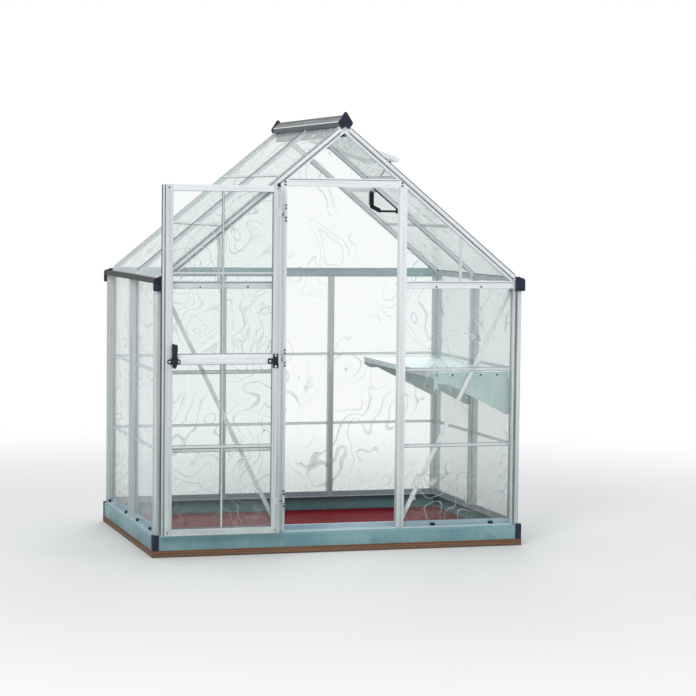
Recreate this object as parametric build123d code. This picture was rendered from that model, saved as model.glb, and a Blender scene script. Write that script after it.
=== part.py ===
from build123d import *
import math
import os

# A small hobby greenhouse on a timber deck. Millimetres; X runs across the gables,
# the door gable faces -Y, Z points up and z = 0 is the ground under the deck.

# Timber deck
base_width = 1850
base_depth = 1260
board_thickness = 16
board_count = 9
board_gap = 3
bearer_height = 16
bearer_width = 60
joist_count = 3

# Folded steel base with black corner blocks
base_height = 70
base_sheet = 3
corner_size = 32
corner_proud = 2
corner_lip = 4
corner_radius = 5

# Aluminium frame
frame_setback = 12
post_size = 44
jamb_width = 36
jamb_depth = 38
stud_width = 26
doorway_width = 562
lintel_height = 41
lintel_drop = 26.5
rear_stud_place = 295
wall_joints = (467, 837)
gable_joint = 603
bar_height = 14
bar_depth = 7
post_radius = 10
post_lip = 8
post_channel = 12
post_channel_depth = 6
member_channel = 7
member_channel_depth = 3
rail_channel_drop = 6

# Sills, drawn from the outer edge inwards
sill_height = 30
sill_edge = 5
sill_ledge = 24
sill_ledge_rise = 9

# Eaves
eave_height = 1290
gutter_width = 42
gutter_setback = 3
gutter_height = 34
gutter_sheet = 3
gutter_inner_drop = 8
gutter_outer_drop = 7
eave_rail_height = 36
eave_rail_drop = 22
rear_beam_height = 47
rear_beam_rise = 6
cap_thickness = 12
cap_drop = 33
cap_lip = 3
cap_flange = 3
cap_hook = 3
cap_shoulder = 16
cap_shoulder_drop = 14

# Roof
roof_pitch = 39.5
rafter_depth = 38
rafter_width = 40
slim_rafter_depth = 20
middle_rafter_width = 24
rafter_rise = 8
rafter_foot = 8
rafter_band = 21
rafter_channel = 9
rear_rafter_band = 6
rafter_channel_depth = 5
ridge_width = 44
ridge_rise = 34
ridge_foot_overlap = 4
ridge_crest_width = 60
ridge_crest_lip = 9
ridge_crown_width = 8
ridge_cap_width = 70
ridge_cap_rise = 48
ridge_cap_leg = 18
ridge_cap_drop = 33
ridge_cap_notch = 20
roof_joints = (397, 770)
roof_sheet_inset = 3
roof_overhang = 15

# Clear sheets
sheet_thickness = 3
sheet_inset = 29.5
sheet_seat = 3

# Diagonal braces behind the front sheets
brace_width = 20
brace_thickness = 3
brace_foot_rise = 9
brace_head_drop = 4
brace_clearance = 0.2

# Roof vent, propped open
vent_sill_place = 475
vent_sill_width = 30
vent_sill_depth = 20
flap_length = 480
flap_angle = 18.5
flap_thickness = 20
flap_rail = 24
flap_side_gap = 2
opener_place = 115
opener_lead = 8
opener_root = 15
opener_radius = 8
opener_drop = 80
opener_reach = 50
opener_rod_radius = 3
opener_foot_size = 22
opener_foot_drop = 4
stay_width = 16
stay_thickness = 5

# Sheet-metal shelf along the right wall
shelf_height = 820
shelf_inner_edge = 475
shelf_wall_gap = 4
shelf_flange = 27
shelf_sheet = 2
shelf_end_gap = 2
bracket_thickness = 3
bracket_drop = 183
bracket_lap = 7
bracket_flange = 18
bracket_tip_inset = 2
bracket_nose = 12
bracket_nose_length = 33
bracket_web = 30
bracket_throat = 75

# Door, hinged on the left jamb and folded back flat against the left bay
door_width = 570
door_depth = 25
door_head_lap = 2
door_floor_gap = 6
door_wall_gap = 6
hinge_offset = 24
hinge_backset = 3
hinge_stile_width = 39
free_stile_width = 50
door_top_rail = 29
door_bottom_rail = 30
door_mid_rail = 47
door_mid_height = 879
door_rail_face = 29
door_rail_shoulder = 3
door_rail_round = 3
door_rail_recess = 7
divider_height = 12
door_centre_bar = 8
centre_bar_recess = 8
stile_channel_place = 12
top_hinge_drop = 128
bottom_hinge_rise = 154
hinge_height = 31
knuckle_radius = 8
pin_radius = 4
pin_clearance = 0.1
knuckle_gap = 0.5
leaf_thickness = 3
leaf_width = 32
back_plate_rise = 4
hinge_reveal = 17
handle_place = 537
handle_lever = 48
handle_lever_width = 28
handle_neck_width = 22
handle_tail = 16
handle_ear_radius = 12
handle_ear_spread = 40
handle_taper = 5
handle_corner = 2
handle_neck_shoulder = 4
handle_base = 6
handle_stand = 22
handle_grip = 9
handle_boss_radius = 8
handle_boss_rise = 4

# Sill clips
clip_width = 16
clip_height = 12
clip_depth = 12
gable_clip_insets = (133, 119)
side_clip_insets = ((16, 114), (150, 111))

# Heights and faces that follow
deck_top = bearer_height + board_thickness
base_top = deck_top + base_height
sill_top = base_top + sill_height
half_width = base_width / 2
half_depth = base_depth / 2
frame_x = half_width - frame_setback
frame_y = half_depth - frame_setback
post_x = frame_x - post_size
post_y = frame_y - post_size
jamb_inner = doorway_width / 2
jamb_outer = jamb_inner + jamb_width
gutter_rim = deck_top + eave_height
gutter_floor = gutter_rim - gutter_height
gutter_outer = half_width - gutter_setback
gutter_inner = gutter_outer - gutter_width
eave_rail_top = gutter_rim - eave_rail_drop
eave_rail_bottom = eave_rail_top - eave_rail_height
rear_beam_top = gutter_rim + rear_beam_rise
rear_beam_bottom = rear_beam_top - rear_beam_height
pitch = math.radians(roof_pitch)
slope = math.tan(pitch)
roof_apex = gutter_rim + rafter_rise + slope * gutter_inner
ridge_half = ridge_width / 2
ridge_foot = ridge_half + ridge_foot_overlap
crest_half = ridge_crest_width / 2
ridge_cap_half = ridge_cap_width / 2
sheet_outer_x = frame_x - sheet_inset
sheet_outer_y = frame_y - sheet_inset
bar_over = (bar_depth - sheet_thickness) / 2
hinge_x = -jamb_outer + hinge_reveal
hinge_y = -frame_y - door_wall_gap - door_depth - hinge_backset


def roof_at(x, depth=0.0):
    """Height of the roof's outer plane at x, or of the plane so deep inside it."""
    return roof_apex - slope * abs(x) - depth / math.cos(pitch)


def roof_reach(z, depth=0.0):
    """Half width of the roof at height z, measured on the plane at a depth."""
    return (roof_apex - depth / math.cos(pitch) - z) / slope


def on_roof(run, depth):
    """Point (x, z) of the right slope, run down from the apex and deep inside."""
    x = run * math.cos(pitch) - depth * math.sin(pitch)
    z = roof_apex - run * math.sin(pitch) - depth * math.cos(pitch)
    return (x, z)


def block(x_span, y_span, z_span):
    """Rectangular block between three spans."""
    spans = (x_span, y_span, z_span)
    middle = [(low + high) / 2 for low, high in spans]
    size = [high - low for low, high in spans]
    return Pos(*middle) * Box(*size)


def along_x(outline, x_span):
    """Prism of an outline drawn in (y, z), running over a span of x."""
    face = make_face(Plane.YZ * Polyline(*outline, close=True))
    return Pos(x_span[0], 0, 0) * extrude(face, amount=x_span[1] - x_span[0], dir=(1, 0, 0))


def along_y(outline, y_span):
    """Prism of an outline drawn in (x, z), running over a span of y."""
    face = make_face(Plane.XZ * Polyline(*outline, close=True))
    return Pos(0, y_span[0], 0) * extrude(face, amount=y_span[1] - y_span[0], dir=(0, 1, 0))


def both_sides(shapes):
    """The shapes with their mirror images across the middle of the gable."""
    return shapes + [mirror(shape, about=Plane.YZ) for shape in shapes]


def both_ends(shapes):
    """The shapes with their mirror images towards the other gable."""
    return shapes + [mirror(shape, about=Plane.XZ) for shape in shapes]


def wider(span, margin):
    """A span grown by a margin at both ends."""
    return (span[0] - margin, span[1] + margin)


def around(middle, size):
    """The span of a size about its middle."""
    return (middle - size / 2, middle + size / 2)


def outermost_edge(shape):
    """The upright edge of a shape that lies furthest out at +x, +y."""
    upright = shape.edges().filter_by(Axis.Z)
    return upright.sort_by(lambda edge: edge.center().X + edge.center().Y)[-1]


def rows(span, joints):
    """Clear heights left in a span between the glazing bars at its joints."""
    low, high = span
    clear = []
    for joint in joints:
        clear.append((low, joint - bar_height / 2))
        low = joint + bar_height / 2
    clear.append((low, high))
    return clear


def boxes_meet(one, other):
    """Whether the bounding boxes of two shapes reach into each other."""
    a = one.bounding_box()
    b = other.bounding_box()
    lows = zip(tuple(a.min), tuple(b.max))
    highs = zip(tuple(b.min), tuple(a.max))
    return all(low < high for low, high in (*lows, *highs))


def grooved(members, sheets):
    """The members with a groove cut wherever a clear sheet is seated in them."""
    result = []
    for member in members:
        for sheet in sheets:
            if boxes_meet(member, sheet):
                member = member - sheet
        result.append(member)
    return result


lintel_bottom = roof_at(jamb_inner, rafter_depth) - lintel_drop
lintel_top = lintel_bottom + lintel_height
wall_levels = [deck_top + joint for joint in wall_joints]
front_bay = (jamb_outer, post_x)
side_bay = (stud_width / 2, post_y)
roof_bay = (middle_rafter_width / 2, frame_y - rafter_width)
rear_stud_span = around(rear_stud_place, stud_width)
rear_bays = [(rear_stud_span[1], post_x)]
rear_middle_bay = (-rear_stud_span[0], rear_stud_span[0])


def wall_sheet(span, levels):
    """Sheet of the front wall, seated on every side of its clear opening."""
    y_span = (-sheet_outer_y, -sheet_outer_y + sheet_thickness)
    return block(wider(span, sheet_seat), y_span, wider(levels, sheet_seat))


def gable_sheets():
    """Sheets in the front gable's right side, parted by an upright joint."""
    seat_depth = rafter_depth - sheet_seat
    bottom = eave_rail_top - sheet_seat
    inner = jamb_outer - sheet_seat
    meeting = gable_joint - bar_height / 2 + sheet_seat
    apart = gable_joint + bar_height / 2 - sheet_seat
    tall = [
        (inner, bottom), (meeting, bottom),
        (meeting, roof_at(meeting, seat_depth)), (inner, roof_at(inner, seat_depth)),
    ]
    low = [(apart, bottom), (roof_reach(bottom, seat_depth), bottom), (apart, roof_at(apart, seat_depth))]
    y_span = (-sheet_outer_y, -sheet_outer_y + sheet_thickness)
    return [along_y(tall, y_span), along_y(low, y_span)]


def peak_sheet(low, depth):
    """Gable sheet across the middle, from a height up to rafters of a depth."""
    seat_depth = depth - sheet_seat
    bottom = low - sheet_seat
    reach = roof_reach(bottom, seat_depth)
    outline = [(-reach, bottom), (reach, bottom), (0, roof_at(0, seat_depth))]
    return along_y(outline, (-sheet_outer_y, -sheet_outer_y + sheet_thickness))


def front_panes():
    """Sheets beside the doorway, in the gable's sides and over the lintel."""
    bay = [wall_sheet(front_bay, levels) for levels in rows((sill_top, eave_rail_bottom), wall_levels)]
    return both_sides(bay + gable_sheets()) + [peak_sheet(lintel_top, rafter_depth)]


def rear_panes():
    """Sheets of the rear wall in three bays, with one sheet in its gable."""
    levels = rows((sill_top, rear_beam_bottom), wall_levels)
    outer = [wall_sheet(bay, level) for bay in rear_bays for level in levels]
    middle = [wall_sheet(rear_middle_bay, level) for level in levels]
    front = both_sides(outer) + middle + [peak_sheet(rear_beam_top, slim_rafter_depth)]
    return [mirror(sheet, about=Plane.XZ) for sheet in front]


def side_panes():
    """Sheets of both long walls, two bays each, up to the gutter."""
    x_span = (sheet_outer_x - sheet_thickness, sheet_outer_x)
    sheets = []
    for low, high in rows((sill_top, gutter_floor), wall_levels):
        top = high if high == gutter_floor else high + sheet_seat
        sheets.append(block(x_span, wider(side_bay, sheet_seat), (low - sheet_seat, top)))
    return both_sides(both_ends(sheets))


def roof_runs():
    """Runs down the slope of the clear sheets between ridge, joints and gutter."""
    clear = rows((0, 0), roof_joints)
    return [clear[0], clear[1], (clear[2][0], None)]


def roof_sheet(run, y_span):
    """Sheet of the right slope over a run; the lowest hangs over the gutter."""
    outer = roof_sheet_inset
    inner = roof_sheet_inset + sheet_thickness
    if run[0] == 0:
        x = ridge_half - sheet_seat
        top = [(x, roof_at(x, inner)), (x, roof_at(x, outer))]
    else:
        top = [on_roof(run[0] - sheet_seat, inner), on_roof(run[0] - sheet_seat, outer)]
    if run[1] is None:
        x = gutter_inner + roof_overhang
        bottom = [(x, roof_at(x, outer)), (x, roof_at(x, inner))]
    else:
        bottom = [on_roof(run[1] + sheet_seat, outer), on_roof(run[1] + sheet_seat, inner)]
    return along_y(top + bottom, wider(y_span, sheet_seat))


def roof_panes():
    """Sheets of both slopes; the rear bay on the right has the vent at its top."""
    front_bays = [roof_sheet(run, roof_bay) for run in roof_runs()]
    right_front = [mirror(sheet, about=Plane.XZ) for sheet in front_bays]
    left = [mirror(sheet, about=Plane.YZ) for sheet in front_bays + right_front]
    below_vent = (vent_sill_place + vent_sill_width / 2, roof_runs()[1][1])
    right_rear = [roof_sheet(below_vent, roof_bay), front_bays[2]]
    return left + right_front + right_rear


def deck_boards():
    """Boards running across the gable, flush with the edge of the base."""
    width = (base_depth - (board_count - 1) * board_gap) / board_count
    boards = []
    for index in range(board_count):
        low = -half_depth + index * (width + board_gap)
        boards.append(block((-half_width, half_width), (low, low + width), (bearer_height, deck_top)))
    return boards


def deck_bearers():
    """Bearers under the long edges, with joists between them."""
    inner = half_depth - bearer_width
    bearer = block((-half_width, half_width), (inner, half_depth), (0, bearer_height))
    joists = []
    reach = half_width - bearer_width / 2
    for index in range(joist_count):
        middle = -reach + 2 * reach * index / (joist_count - 1)
        joists.append(block(around(middle, bearer_width), (-inner, inner), (0, bearer_height)))
    return both_ends([bearer]) + joists


def channel(face, depth):
    """Outline of a base rail: web outside, flanges turned inwards."""
    back = face - depth
    web = face - base_sheet
    return [
        (face, deck_top), (face, base_top), (back, base_top), (back, base_top - base_sheet),
        (web, base_top - base_sheet), (web, deck_top + base_sheet),
        (back, deck_top + base_sheet), (back, deck_top),
    ]


base_flange = corner_size - corner_proud


def base_rear():
    """Base rail under the rear wall, between the corner blocks."""
    reach = half_width - corner_size
    return [along_x(channel(half_depth - corner_proud, base_flange), (-reach, reach))]


def base_front():
    """Base rail under the door gable."""
    return [mirror(rail, about=Plane.XZ) for rail in base_rear()]


def base_sides():
    """Base rails under the two long walls."""
    reach = half_depth - corner_size
    return both_sides([along_y(channel(half_width - corner_proud, base_flange), (-reach, reach))])


def base_corners():
    """Black corner blocks with a rounded edge and a lip round the post's foot."""
    inner_x = half_width - corner_size
    inner_y = half_depth - corner_size
    corner = block((inner_x, half_width), (inner_y, half_depth), (deck_top, base_top + corner_lip))
    corner = fillet(outermost_edge(corner), corner_radius)
    foot = block((inner_x, frame_x), (inner_y, frame_y), (base_top, base_top + corner_lip))
    return both_sides(both_ends([corner - foot]))


def sill_outline(face):
    """Outline of a sill: a sloping ledge outside, a riser for the sheets inside."""
    riser = face - sill_ledge
    back = face - jamb_depth
    ledge = base_top + sill_edge + sill_ledge_rise
    return [
        (face, base_top), (face, base_top + sill_edge), (riser, ledge),
        (riser, sill_top), (back, sill_top), (back, base_top),
    ]


def sill_rear():
    """Sills of the rear wall, one in each bay."""
    spans = [rear_middle_bay] + rear_bays + [(-high, -low) for low, high in rear_bays]
    return [along_x(sill_outline(frame_y), span) for span in spans]


def sill_front():
    """Sills of both front bays and the threshold of the doorway."""
    spans = [front_bay, (-front_bay[1], -front_bay[0]), (-jamb_inner, jamb_inner)]
    return [mirror(along_x(sill_outline(frame_y), span), about=Plane.XZ) for span in spans]


def side_sills():
    """Sills of the long walls, one in each bay."""
    return both_sides(both_ends([along_y(sill_outline(frame_x), side_bay)]))


def sill_clip(face, place):
    """Wedge-shaped clip on a sill's ledge, narrower at the top."""
    riser = face - sill_ledge
    ledge = base_top + sill_edge + sill_ledge_rise
    front = ledge - sill_ledge_rise * clip_depth / sill_ledge
    wedge = [
        (riser, ledge), (riser, ledge + clip_height),
        (riser + clip_depth / 2, ledge + clip_height), (riser + clip_depth, front),
    ]
    prism = along_x(wedge, around(place, clip_width))
    taper = [
        (place - clip_width / 2, front), (place + clip_width / 2, front),
        (place + clip_width / 4, ledge + clip_height), (place - clip_width / 4, ledge + clip_height),
    ]
    return prism & along_y(taper, (riser, riser + clip_depth))


def sill_clips():
    """Black clips that hold the sheets down, along all four sills."""
    near_jamb, near_post = gable_clip_insets
    gable_places = (front_bay[0] + near_jamb, front_bay[1] - near_post)
    gable = both_sides([sill_clip(frame_y, place) for place in gable_places])
    (front_post, front_stud), (rear_stud, rear_post) = side_clip_insets
    side_places = (
        -side_bay[1] + front_post, -side_bay[0] - front_stud,
        side_bay[0] + rear_stud, side_bay[1] - rear_post,
    )
    side = [Rot(0, 0, 90) * mirror(sill_clip(frame_x, place), about=Plane.YZ) for place in side_places]
    return both_ends(gable) + both_sides(side)


def corner_post():
    """Corner post at +x, +y: rounded outside, with a channel in both outer faces."""
    levels = (base_top, gutter_floor)
    shaft = block((post_x, frame_x), (post_y, frame_y), levels)
    shaft = fillet(outermost_edge(shaft), post_radius)
    channel_x = (post_x + post_lip, post_x + post_lip + post_channel)
    channel_y = (post_y + post_lip, post_y + post_lip + post_channel)
    shaft = shaft - block(channel_x, (frame_y - post_channel_depth, frame_y), levels)
    return shaft - block((frame_x - post_channel_depth, frame_x), channel_y, levels)


def rear_corner_posts(sheets):
    """Corner posts of the rear wall, up to the gutters."""
    return grooved(both_sides([corner_post()]), sheets)


def front_corner_posts(sheets):
    """Corner posts beside the door gable."""
    posts = both_sides([mirror(corner_post(), about=Plane.XZ)])
    return grooved(posts, sheets)


def upright_channel(middle):
    """Shallow channel to cut up the outer face of a front upright."""
    return block(
        around(middle, member_channel), (-frame_y, -frame_y + member_channel_depth), (base_top, roof_apex)
    )


def rail_channel(top):
    """Shallow channel to cut along the outer face of a front rail, near its top."""
    levels = (top - rail_channel_drop - member_channel / 2, top - rail_channel_drop)
    return block((-frame_x, frame_x), (-frame_y, -frame_y + member_channel_depth), levels)


def door_jambs(sheets):
    """Jambs of the doorway, cut to the slope where they meet the rafters."""
    outline = [
        (jamb_inner, base_top), (jamb_outer, base_top),
        (jamb_outer, roof_at(jamb_outer, rafter_depth)),
        (jamb_inner, roof_at(jamb_inner, rafter_depth)),
    ]
    jamb = along_y(outline, (-frame_y, -frame_y + jamb_depth))
    jamb = jamb - upright_channel((jamb_inner + jamb_outer) / 2)
    return grooved(both_sides([jamb]), sheets)


def under_rafters(half, low, high, depth):
    """Outline of a rail at a height, cut off along the underside of rafters of a depth."""
    reach = roof_reach(high, depth)
    if reach >= half:
        return [(-half, low), (half, low), (half, high), (-half, high)]
    knee = roof_at(half, depth)
    return [(-half, low), (half, low), (half, knee), (reach, high), (-reach, high), (-half, knee)]


def door_lintel(sheets):
    """Lintel between the jambs, cut to the slope of the rafters."""
    outline = under_rafters(jamb_inner, lintel_bottom, lintel_top, rafter_depth)
    lintel = along_y(outline, (-frame_y, -frame_y + jamb_depth))
    return grooved([lintel - rail_channel(lintel_top)], sheets)


def front_eave_rails(sheets):
    """Rails at eave height between the jambs and the corner posts."""
    outline = [
        (jamb_outer, eave_rail_bottom), (post_x, eave_rail_bottom),
        (post_x, min(eave_rail_top, roof_at(post_x, rafter_depth))),
        (min(post_x, roof_reach(eave_rail_top, rafter_depth)), eave_rail_top),
        (jamb_outer, eave_rail_top),
    ]
    rail = along_y(outline, (-frame_y, -frame_y + jamb_depth))
    return grooved(both_sides([rail - rail_channel(eave_rail_top)]), sheets)


def rear_eave_beam(sheets):
    """Beam across the rear wall between the corner posts."""
    outline = under_rafters(post_x, rear_beam_bottom, rear_beam_top, slim_rafter_depth)
    beam = along_y(outline, (-frame_y, -frame_y + jamb_depth)) - rail_channel(rear_beam_top)
    return grooved([mirror(beam, about=Plane.XZ)], sheets)


def rear_studs(sheets):
    """Studs of the rear wall below its eave beam."""
    stud = block(rear_stud_span, (-frame_y, -frame_y + jamb_depth), (base_top, rear_beam_bottom))
    stud = mirror(stud - upright_channel(rear_stud_place), about=Plane.XZ)
    return grooved(both_sides([stud]), sheets)


def side_studs(sheets):
    """Studs in the middle of the long walls."""
    levels = (base_top, gutter_floor)
    stud = block((post_x, frame_x), around(0, stud_width), levels)
    stud = stud - block((frame_x - member_channel_depth, frame_x), around(0, member_channel), levels)
    return grooved(both_sides([stud]), sheets)


def gutters():
    """Gutters that close the long walls and take the feet of the rafters."""
    inner = gutter_inner
    outer = gutter_outer
    sheet = gutter_sheet
    edge = gutter_rim - gutter_outer_drop
    outline = [
        (inner, gutter_floor), (outer, gutter_floor), (outer, edge),
        (outer - sheet, edge), (outer - sheet, gutter_floor + sheet),
        (inner + sheet, gutter_floor + sheet), (inner + sheet, gutter_rim - gutter_inner_drop),
        (inner, gutter_rim - gutter_inner_drop),
    ]
    return both_sides([along_y(outline, (-frame_y, frame_y))])


def eave_caps():
    """Black caps on the gutter ends, with a foot flange and a sloping shoulder outside."""
    inner = gutter_inner - cap_lip
    outer = gutter_outer
    foot = gutter_floor - cap_drop
    hook = outer + cap_hook
    outline = [
        (inner, foot), (outer, foot), (hook, foot + cap_hook), (hook, gutter_rim - cap_shoulder_drop),
        (inner + cap_shoulder, gutter_rim), (inner, gutter_rim),
    ]
    y_span = (frame_y, frame_y + cap_thickness)
    flange = block(
        (inner - cap_lip, outer + cap_lip), (frame_y, y_span[1] + cap_lip), (foot - cap_flange, foot)
    )
    return both_sides(both_ends([along_y(outline, y_span) + flange]))


def rafter(top, depth, y_span):
    """Rafter of the right slope, from x = top to a foot level with the gutter's floor."""
    outline = [
        (top, roof_at(top, depth)), (top, roof_at(top)),
        (gutter_inner, roof_at(gutter_inner)), (gutter_inner, gutter_floor),
    ]
    heel = roof_reach(gutter_floor, depth)
    if heel > gutter_inner - rafter_foot:
        heel = gutter_inner - rafter_foot
        outline.append((heel, gutter_floor))
    outline.append((heel, roof_at(heel, depth)))
    return along_y(outline, y_span)


def gable_rafters(depth, band):
    """Rafters at -Y, mitred at the top, with a channel cut a band's width below the roof."""
    outline = [
        on_roof(0, band), on_roof(half_width / math.cos(pitch), band),
        on_roof(half_width / math.cos(pitch), band + rafter_channel),
        on_roof(0, band + rafter_channel),
    ]
    channel_cut = along_y(outline, (-frame_y, -frame_y + rafter_channel_depth))
    whole = rafter(0, depth, (-frame_y, -frame_y + rafter_width))
    return both_sides([whole - channel_cut])


def rear_rafters(sheets):
    """Rafters of the rear gable, as slim as the middle ones."""
    rafters = gable_rafters(slim_rafter_depth, rear_rafter_band)
    return grooved([mirror(item, about=Plane.XZ) for item in rafters], sheets)


def front_rafters(sheets):
    """Rafters of the door gable, holding its sheets and those of the roof."""
    return grooved(gable_rafters(rafter_depth, rafter_band), sheets)


def middle_rafters(sheets):
    """Slimmer rafters over the middle studs, from the ridge beam down."""
    whole = rafter(ridge_half, slim_rafter_depth, around(0, middle_rafter_width))
    return grooved(both_sides([whole]), sheets)


def mirrored(right):
    """A closed outline from its right half, given from the bottom up."""
    return right + [(-x, z) for x, z in reversed(right) if x > 0]


def ridge_crest(y_span):
    """Crest like an arrowhead, lying over the upper edges of the rafters."""
    right = [
        (0, roof_apex), (ridge_foot, roof_at(ridge_foot)), (crest_half, roof_apex - ridge_crest_lip),
        (crest_half, roof_apex), (ridge_crown_width / 2, roof_apex + ridge_rise),
    ]
    return along_y(mirrored(right), y_span)


def whole_ridge():
    """Beam between the gable rafters, in one piece with the crest from gable to gable."""
    body = mirrored([
        (ridge_half, roof_at(ridge_half, rafter_depth)), (ridge_half, roof_at(ridge_half)),
        (ridge_crown_width / 2, roof_apex + ridge_rise / 2),
    ])
    beam = along_y(body, wider((-frame_y, frame_y), -rafter_width))
    return beam + ridge_crest((-frame_y, frame_y))


def ridge_beam(sheets):
    """The ridge with grooves for the roof's sheets."""
    return grooved([whole_ridge()], sheets)


def ridge_caps():
    """Arrowhead caps over the ends of the ridge's crest, notched where the rafters meet."""
    right = [
        (0, roof_apex - ridge_cap_notch), (ridge_cap_leg, roof_apex - ridge_cap_drop),
        (ridge_foot, roof_at(ridge_foot)), (ridge_cap_half, roof_apex - ridge_crest_lip),
        (ridge_cap_half, roof_apex), (ridge_crown_width / 2, roof_apex + ridge_cap_rise),
    ]
    return both_ends([along_y(mirrored(right), (frame_y, frame_y + cap_thickness))])


def wall_bar(span, level):
    """Glazing bar of the front wall over a span of x."""
    y_span = (-sheet_outer_y - bar_over, -sheet_outer_y + sheet_thickness + bar_over)
    return block(span, y_span, around(level, bar_height))


def wall_glazing_bars(sheets):
    """Bars between the sheets of the walls, and an upright one in the front gable."""
    front = [wall_bar(front_bay, level) for level in wall_levels]
    inner, outer = around(gable_joint, bar_height)
    outline = [
        (inner, eave_rail_top), (outer, eave_rail_top),
        (outer, roof_at(outer, rafter_depth)), (inner, roof_at(inner, rafter_depth)),
    ]
    y_span = (-sheet_outer_y - bar_over, -sheet_outer_y + sheet_thickness + bar_over)
    front.append(along_y(outline, y_span))
    rear = [wall_bar(bay, level) for bay in rear_bays for level in wall_levels]
    middle = [wall_bar(rear_middle_bay, level) for level in wall_levels]
    rear_wall = [mirror(bar, about=Plane.XZ) for bar in both_sides(rear) + middle]
    x_span = (sheet_outer_x - sheet_thickness - bar_over, sheet_outer_x + bar_over)
    side = [block(x_span, side_bay, around(level, bar_height)) for level in wall_levels]
    bars = both_sides(front) + rear_wall + both_sides(both_ends(side))
    return grooved(bars, sheets)


def roof_strip(run_span, depth_span, y_span):
    """Straight strip across a bay of the right slope."""
    outline = [
        on_roof(run_span[0], depth_span[0]), on_roof(run_span[1], depth_span[0]),
        on_roof(run_span[1], depth_span[1]), on_roof(run_span[0], depth_span[1]),
    ]
    return along_y(outline, y_span)


def roof_glazing_bars(sheets):
    """Bars between the sheets of the roof, none where the vent's sill lies."""
    top = roof_sheet_inset - bar_over
    depth_span = (top, top + bar_depth)
    upper, lower = [roof_strip(around(run, bar_height), depth_span, roof_bay) for run in roof_joints]
    front = [mirror(bar, about=Plane.XZ) for bar in (upper, lower)]
    left = [mirror(bar, about=Plane.YZ) for bar in (upper, lower, *front)]
    return grooved(left + front + [lower], sheets)


def wall_braces():
    """Flat diagonal braces just behind the front sheets."""
    foot = (jamb_outer, sill_top + brace_foot_rise)
    head = (post_x, eave_rail_bottom - brace_head_drop)
    run = math.hypot(head[0] - foot[0], head[1] - foot[1])
    tilt = math.degrees(math.atan2(head[1] - foot[1], head[0] - foot[0]))
    front = -sheet_outer_y + sheet_thickness + bar_over + brace_clearance
    middle = ((foot[0] + head[0]) / 2, front + brace_thickness / 2, (foot[1] + head[1]) / 2)
    bar = Pos(*middle) * Rot(0, -tilt, 0) * Box(run + 4 * brace_width, brace_thickness, brace_width)
    bay = block(front_bay, (front, front + brace_thickness), (sill_top, eave_rail_bottom))
    return both_sides([bar & bay])


flap_hinge = (ridge_foot, roof_at(ridge_foot) + flap_thickness)


def flap_block(run_span, y_span, depth_span):
    """Block drawn on the open flap: down its length, across it and into it."""
    x, z = flap_hinge
    return Pos(x, 0, z) * Rot(0, flap_angle, 0) * block(run_span, y_span, (-depth_span[1], -depth_span[0]))


def vent_pane():
    """Clear sheet in the flap."""
    middle = flap_thickness / 2
    y_span = wider(roof_bay, -flap_side_gap - flap_rail + sheet_seat)
    run = (flap_rail - sheet_seat, flap_length - flap_rail + sheet_seat)
    return [flap_block(run, y_span, around(middle, sheet_thickness))]


def vent_flap(sheets):
    """Frame of the roof vent, tucked under the ridge's crest and standing open."""
    y_span = wider(roof_bay, -flap_side_gap)
    outer = flap_block((0, flap_length), y_span, (0, flap_thickness))
    inner = flap_block(
        (flap_rail, flap_length - flap_rail), wider(y_span, -flap_rail), (-1, flap_thickness + 1)
    )
    return grooved([outer - inner - whole_ridge()], sheets)


def vent_sill(sheets):
    """Crossbar between the rafters on which the vent shuts."""
    run_span = around(vent_sill_place, vent_sill_width)
    return grooved([roof_strip(run_span, (0, vent_sill_depth), roof_bay)], sheets)


def tube(start, end, radius):
    """Round bar between two points."""
    direction = Vector(*end) - Vector(*start)
    plane = Plane(origin=start, z_dir=direction)
    bar = Cylinder(radius, direction.length, align=(Align.CENTER, Align.CENTER, Align.MIN))
    return plane.location * bar


def vent_opener(sill, flap):
    """Black opener hung from the vent's sill, its rod and foot, and the flap's stay."""
    x, z = on_roof(vent_sill_place + opener_lead, opener_root)
    y = opener_place
    elbow = (x, y, z - opener_drop)
    end = (x + opener_reach, y, z - opener_drop - opener_reach / 2)
    arm = tube((x, y, z), elbow, opener_radius) + Pos(*elbow) * Sphere(opener_radius)
    arm = arm + tube(elbow, end, opener_radius)
    foot_x = roof_reach(end[2], slim_rafter_depth + opener_foot_drop)
    foot_y = (middle_rafter_width / 2, (middle_rafter_width + opener_foot_size) / 2)
    foot = block(around(foot_x, opener_foot_size), foot_y, around(end[2], opener_foot_size))
    rod = tube(end, (foot_x, foot_y[1], end[2]), opener_rod_radius)
    stay_top = Pos(flap_hinge[0], 0, flap_hinge[1]) * Rot(0, flap_angle, 0)
    grip = (stay_top * Pos(flap_length - flap_rail / 2, 0, -flap_thickness / 2)).position
    tilt = math.degrees(math.atan2(grip.X - x, grip.Z - z))
    length = math.hypot(grip.X - x, grip.Z - z)
    middle = ((grip.X + x) / 2, y, (grip.Z + z) / 2)
    stay = Pos(*middle) * Rot(0, tilt, 0) * Box(stay_thickness, stay_width, length)
    return [arm - sill[0], rod - arm - foot, foot, stay - arm - sill[0] - flap[0]]


def shelf_top():
    """Height of the shelf's upper face above the ground."""
    return deck_top + shelf_height


def shelf_trays():
    """Two sheet-metal trays, folded down along their long edges and ends."""
    top = shelf_top()
    x_span = (shelf_inner_edge, post_x - shelf_wall_gap)
    y_span = (shelf_end_gap, post_y - shelf_end_gap)
    tray = block(x_span, y_span, (top - shelf_flange, top))
    inside = (top - shelf_flange, top - shelf_sheet)
    hollow = block(wider(x_span, -shelf_sheet), wider(y_span, -shelf_sheet), inside)
    return both_ends([tray - hollow])


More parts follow.
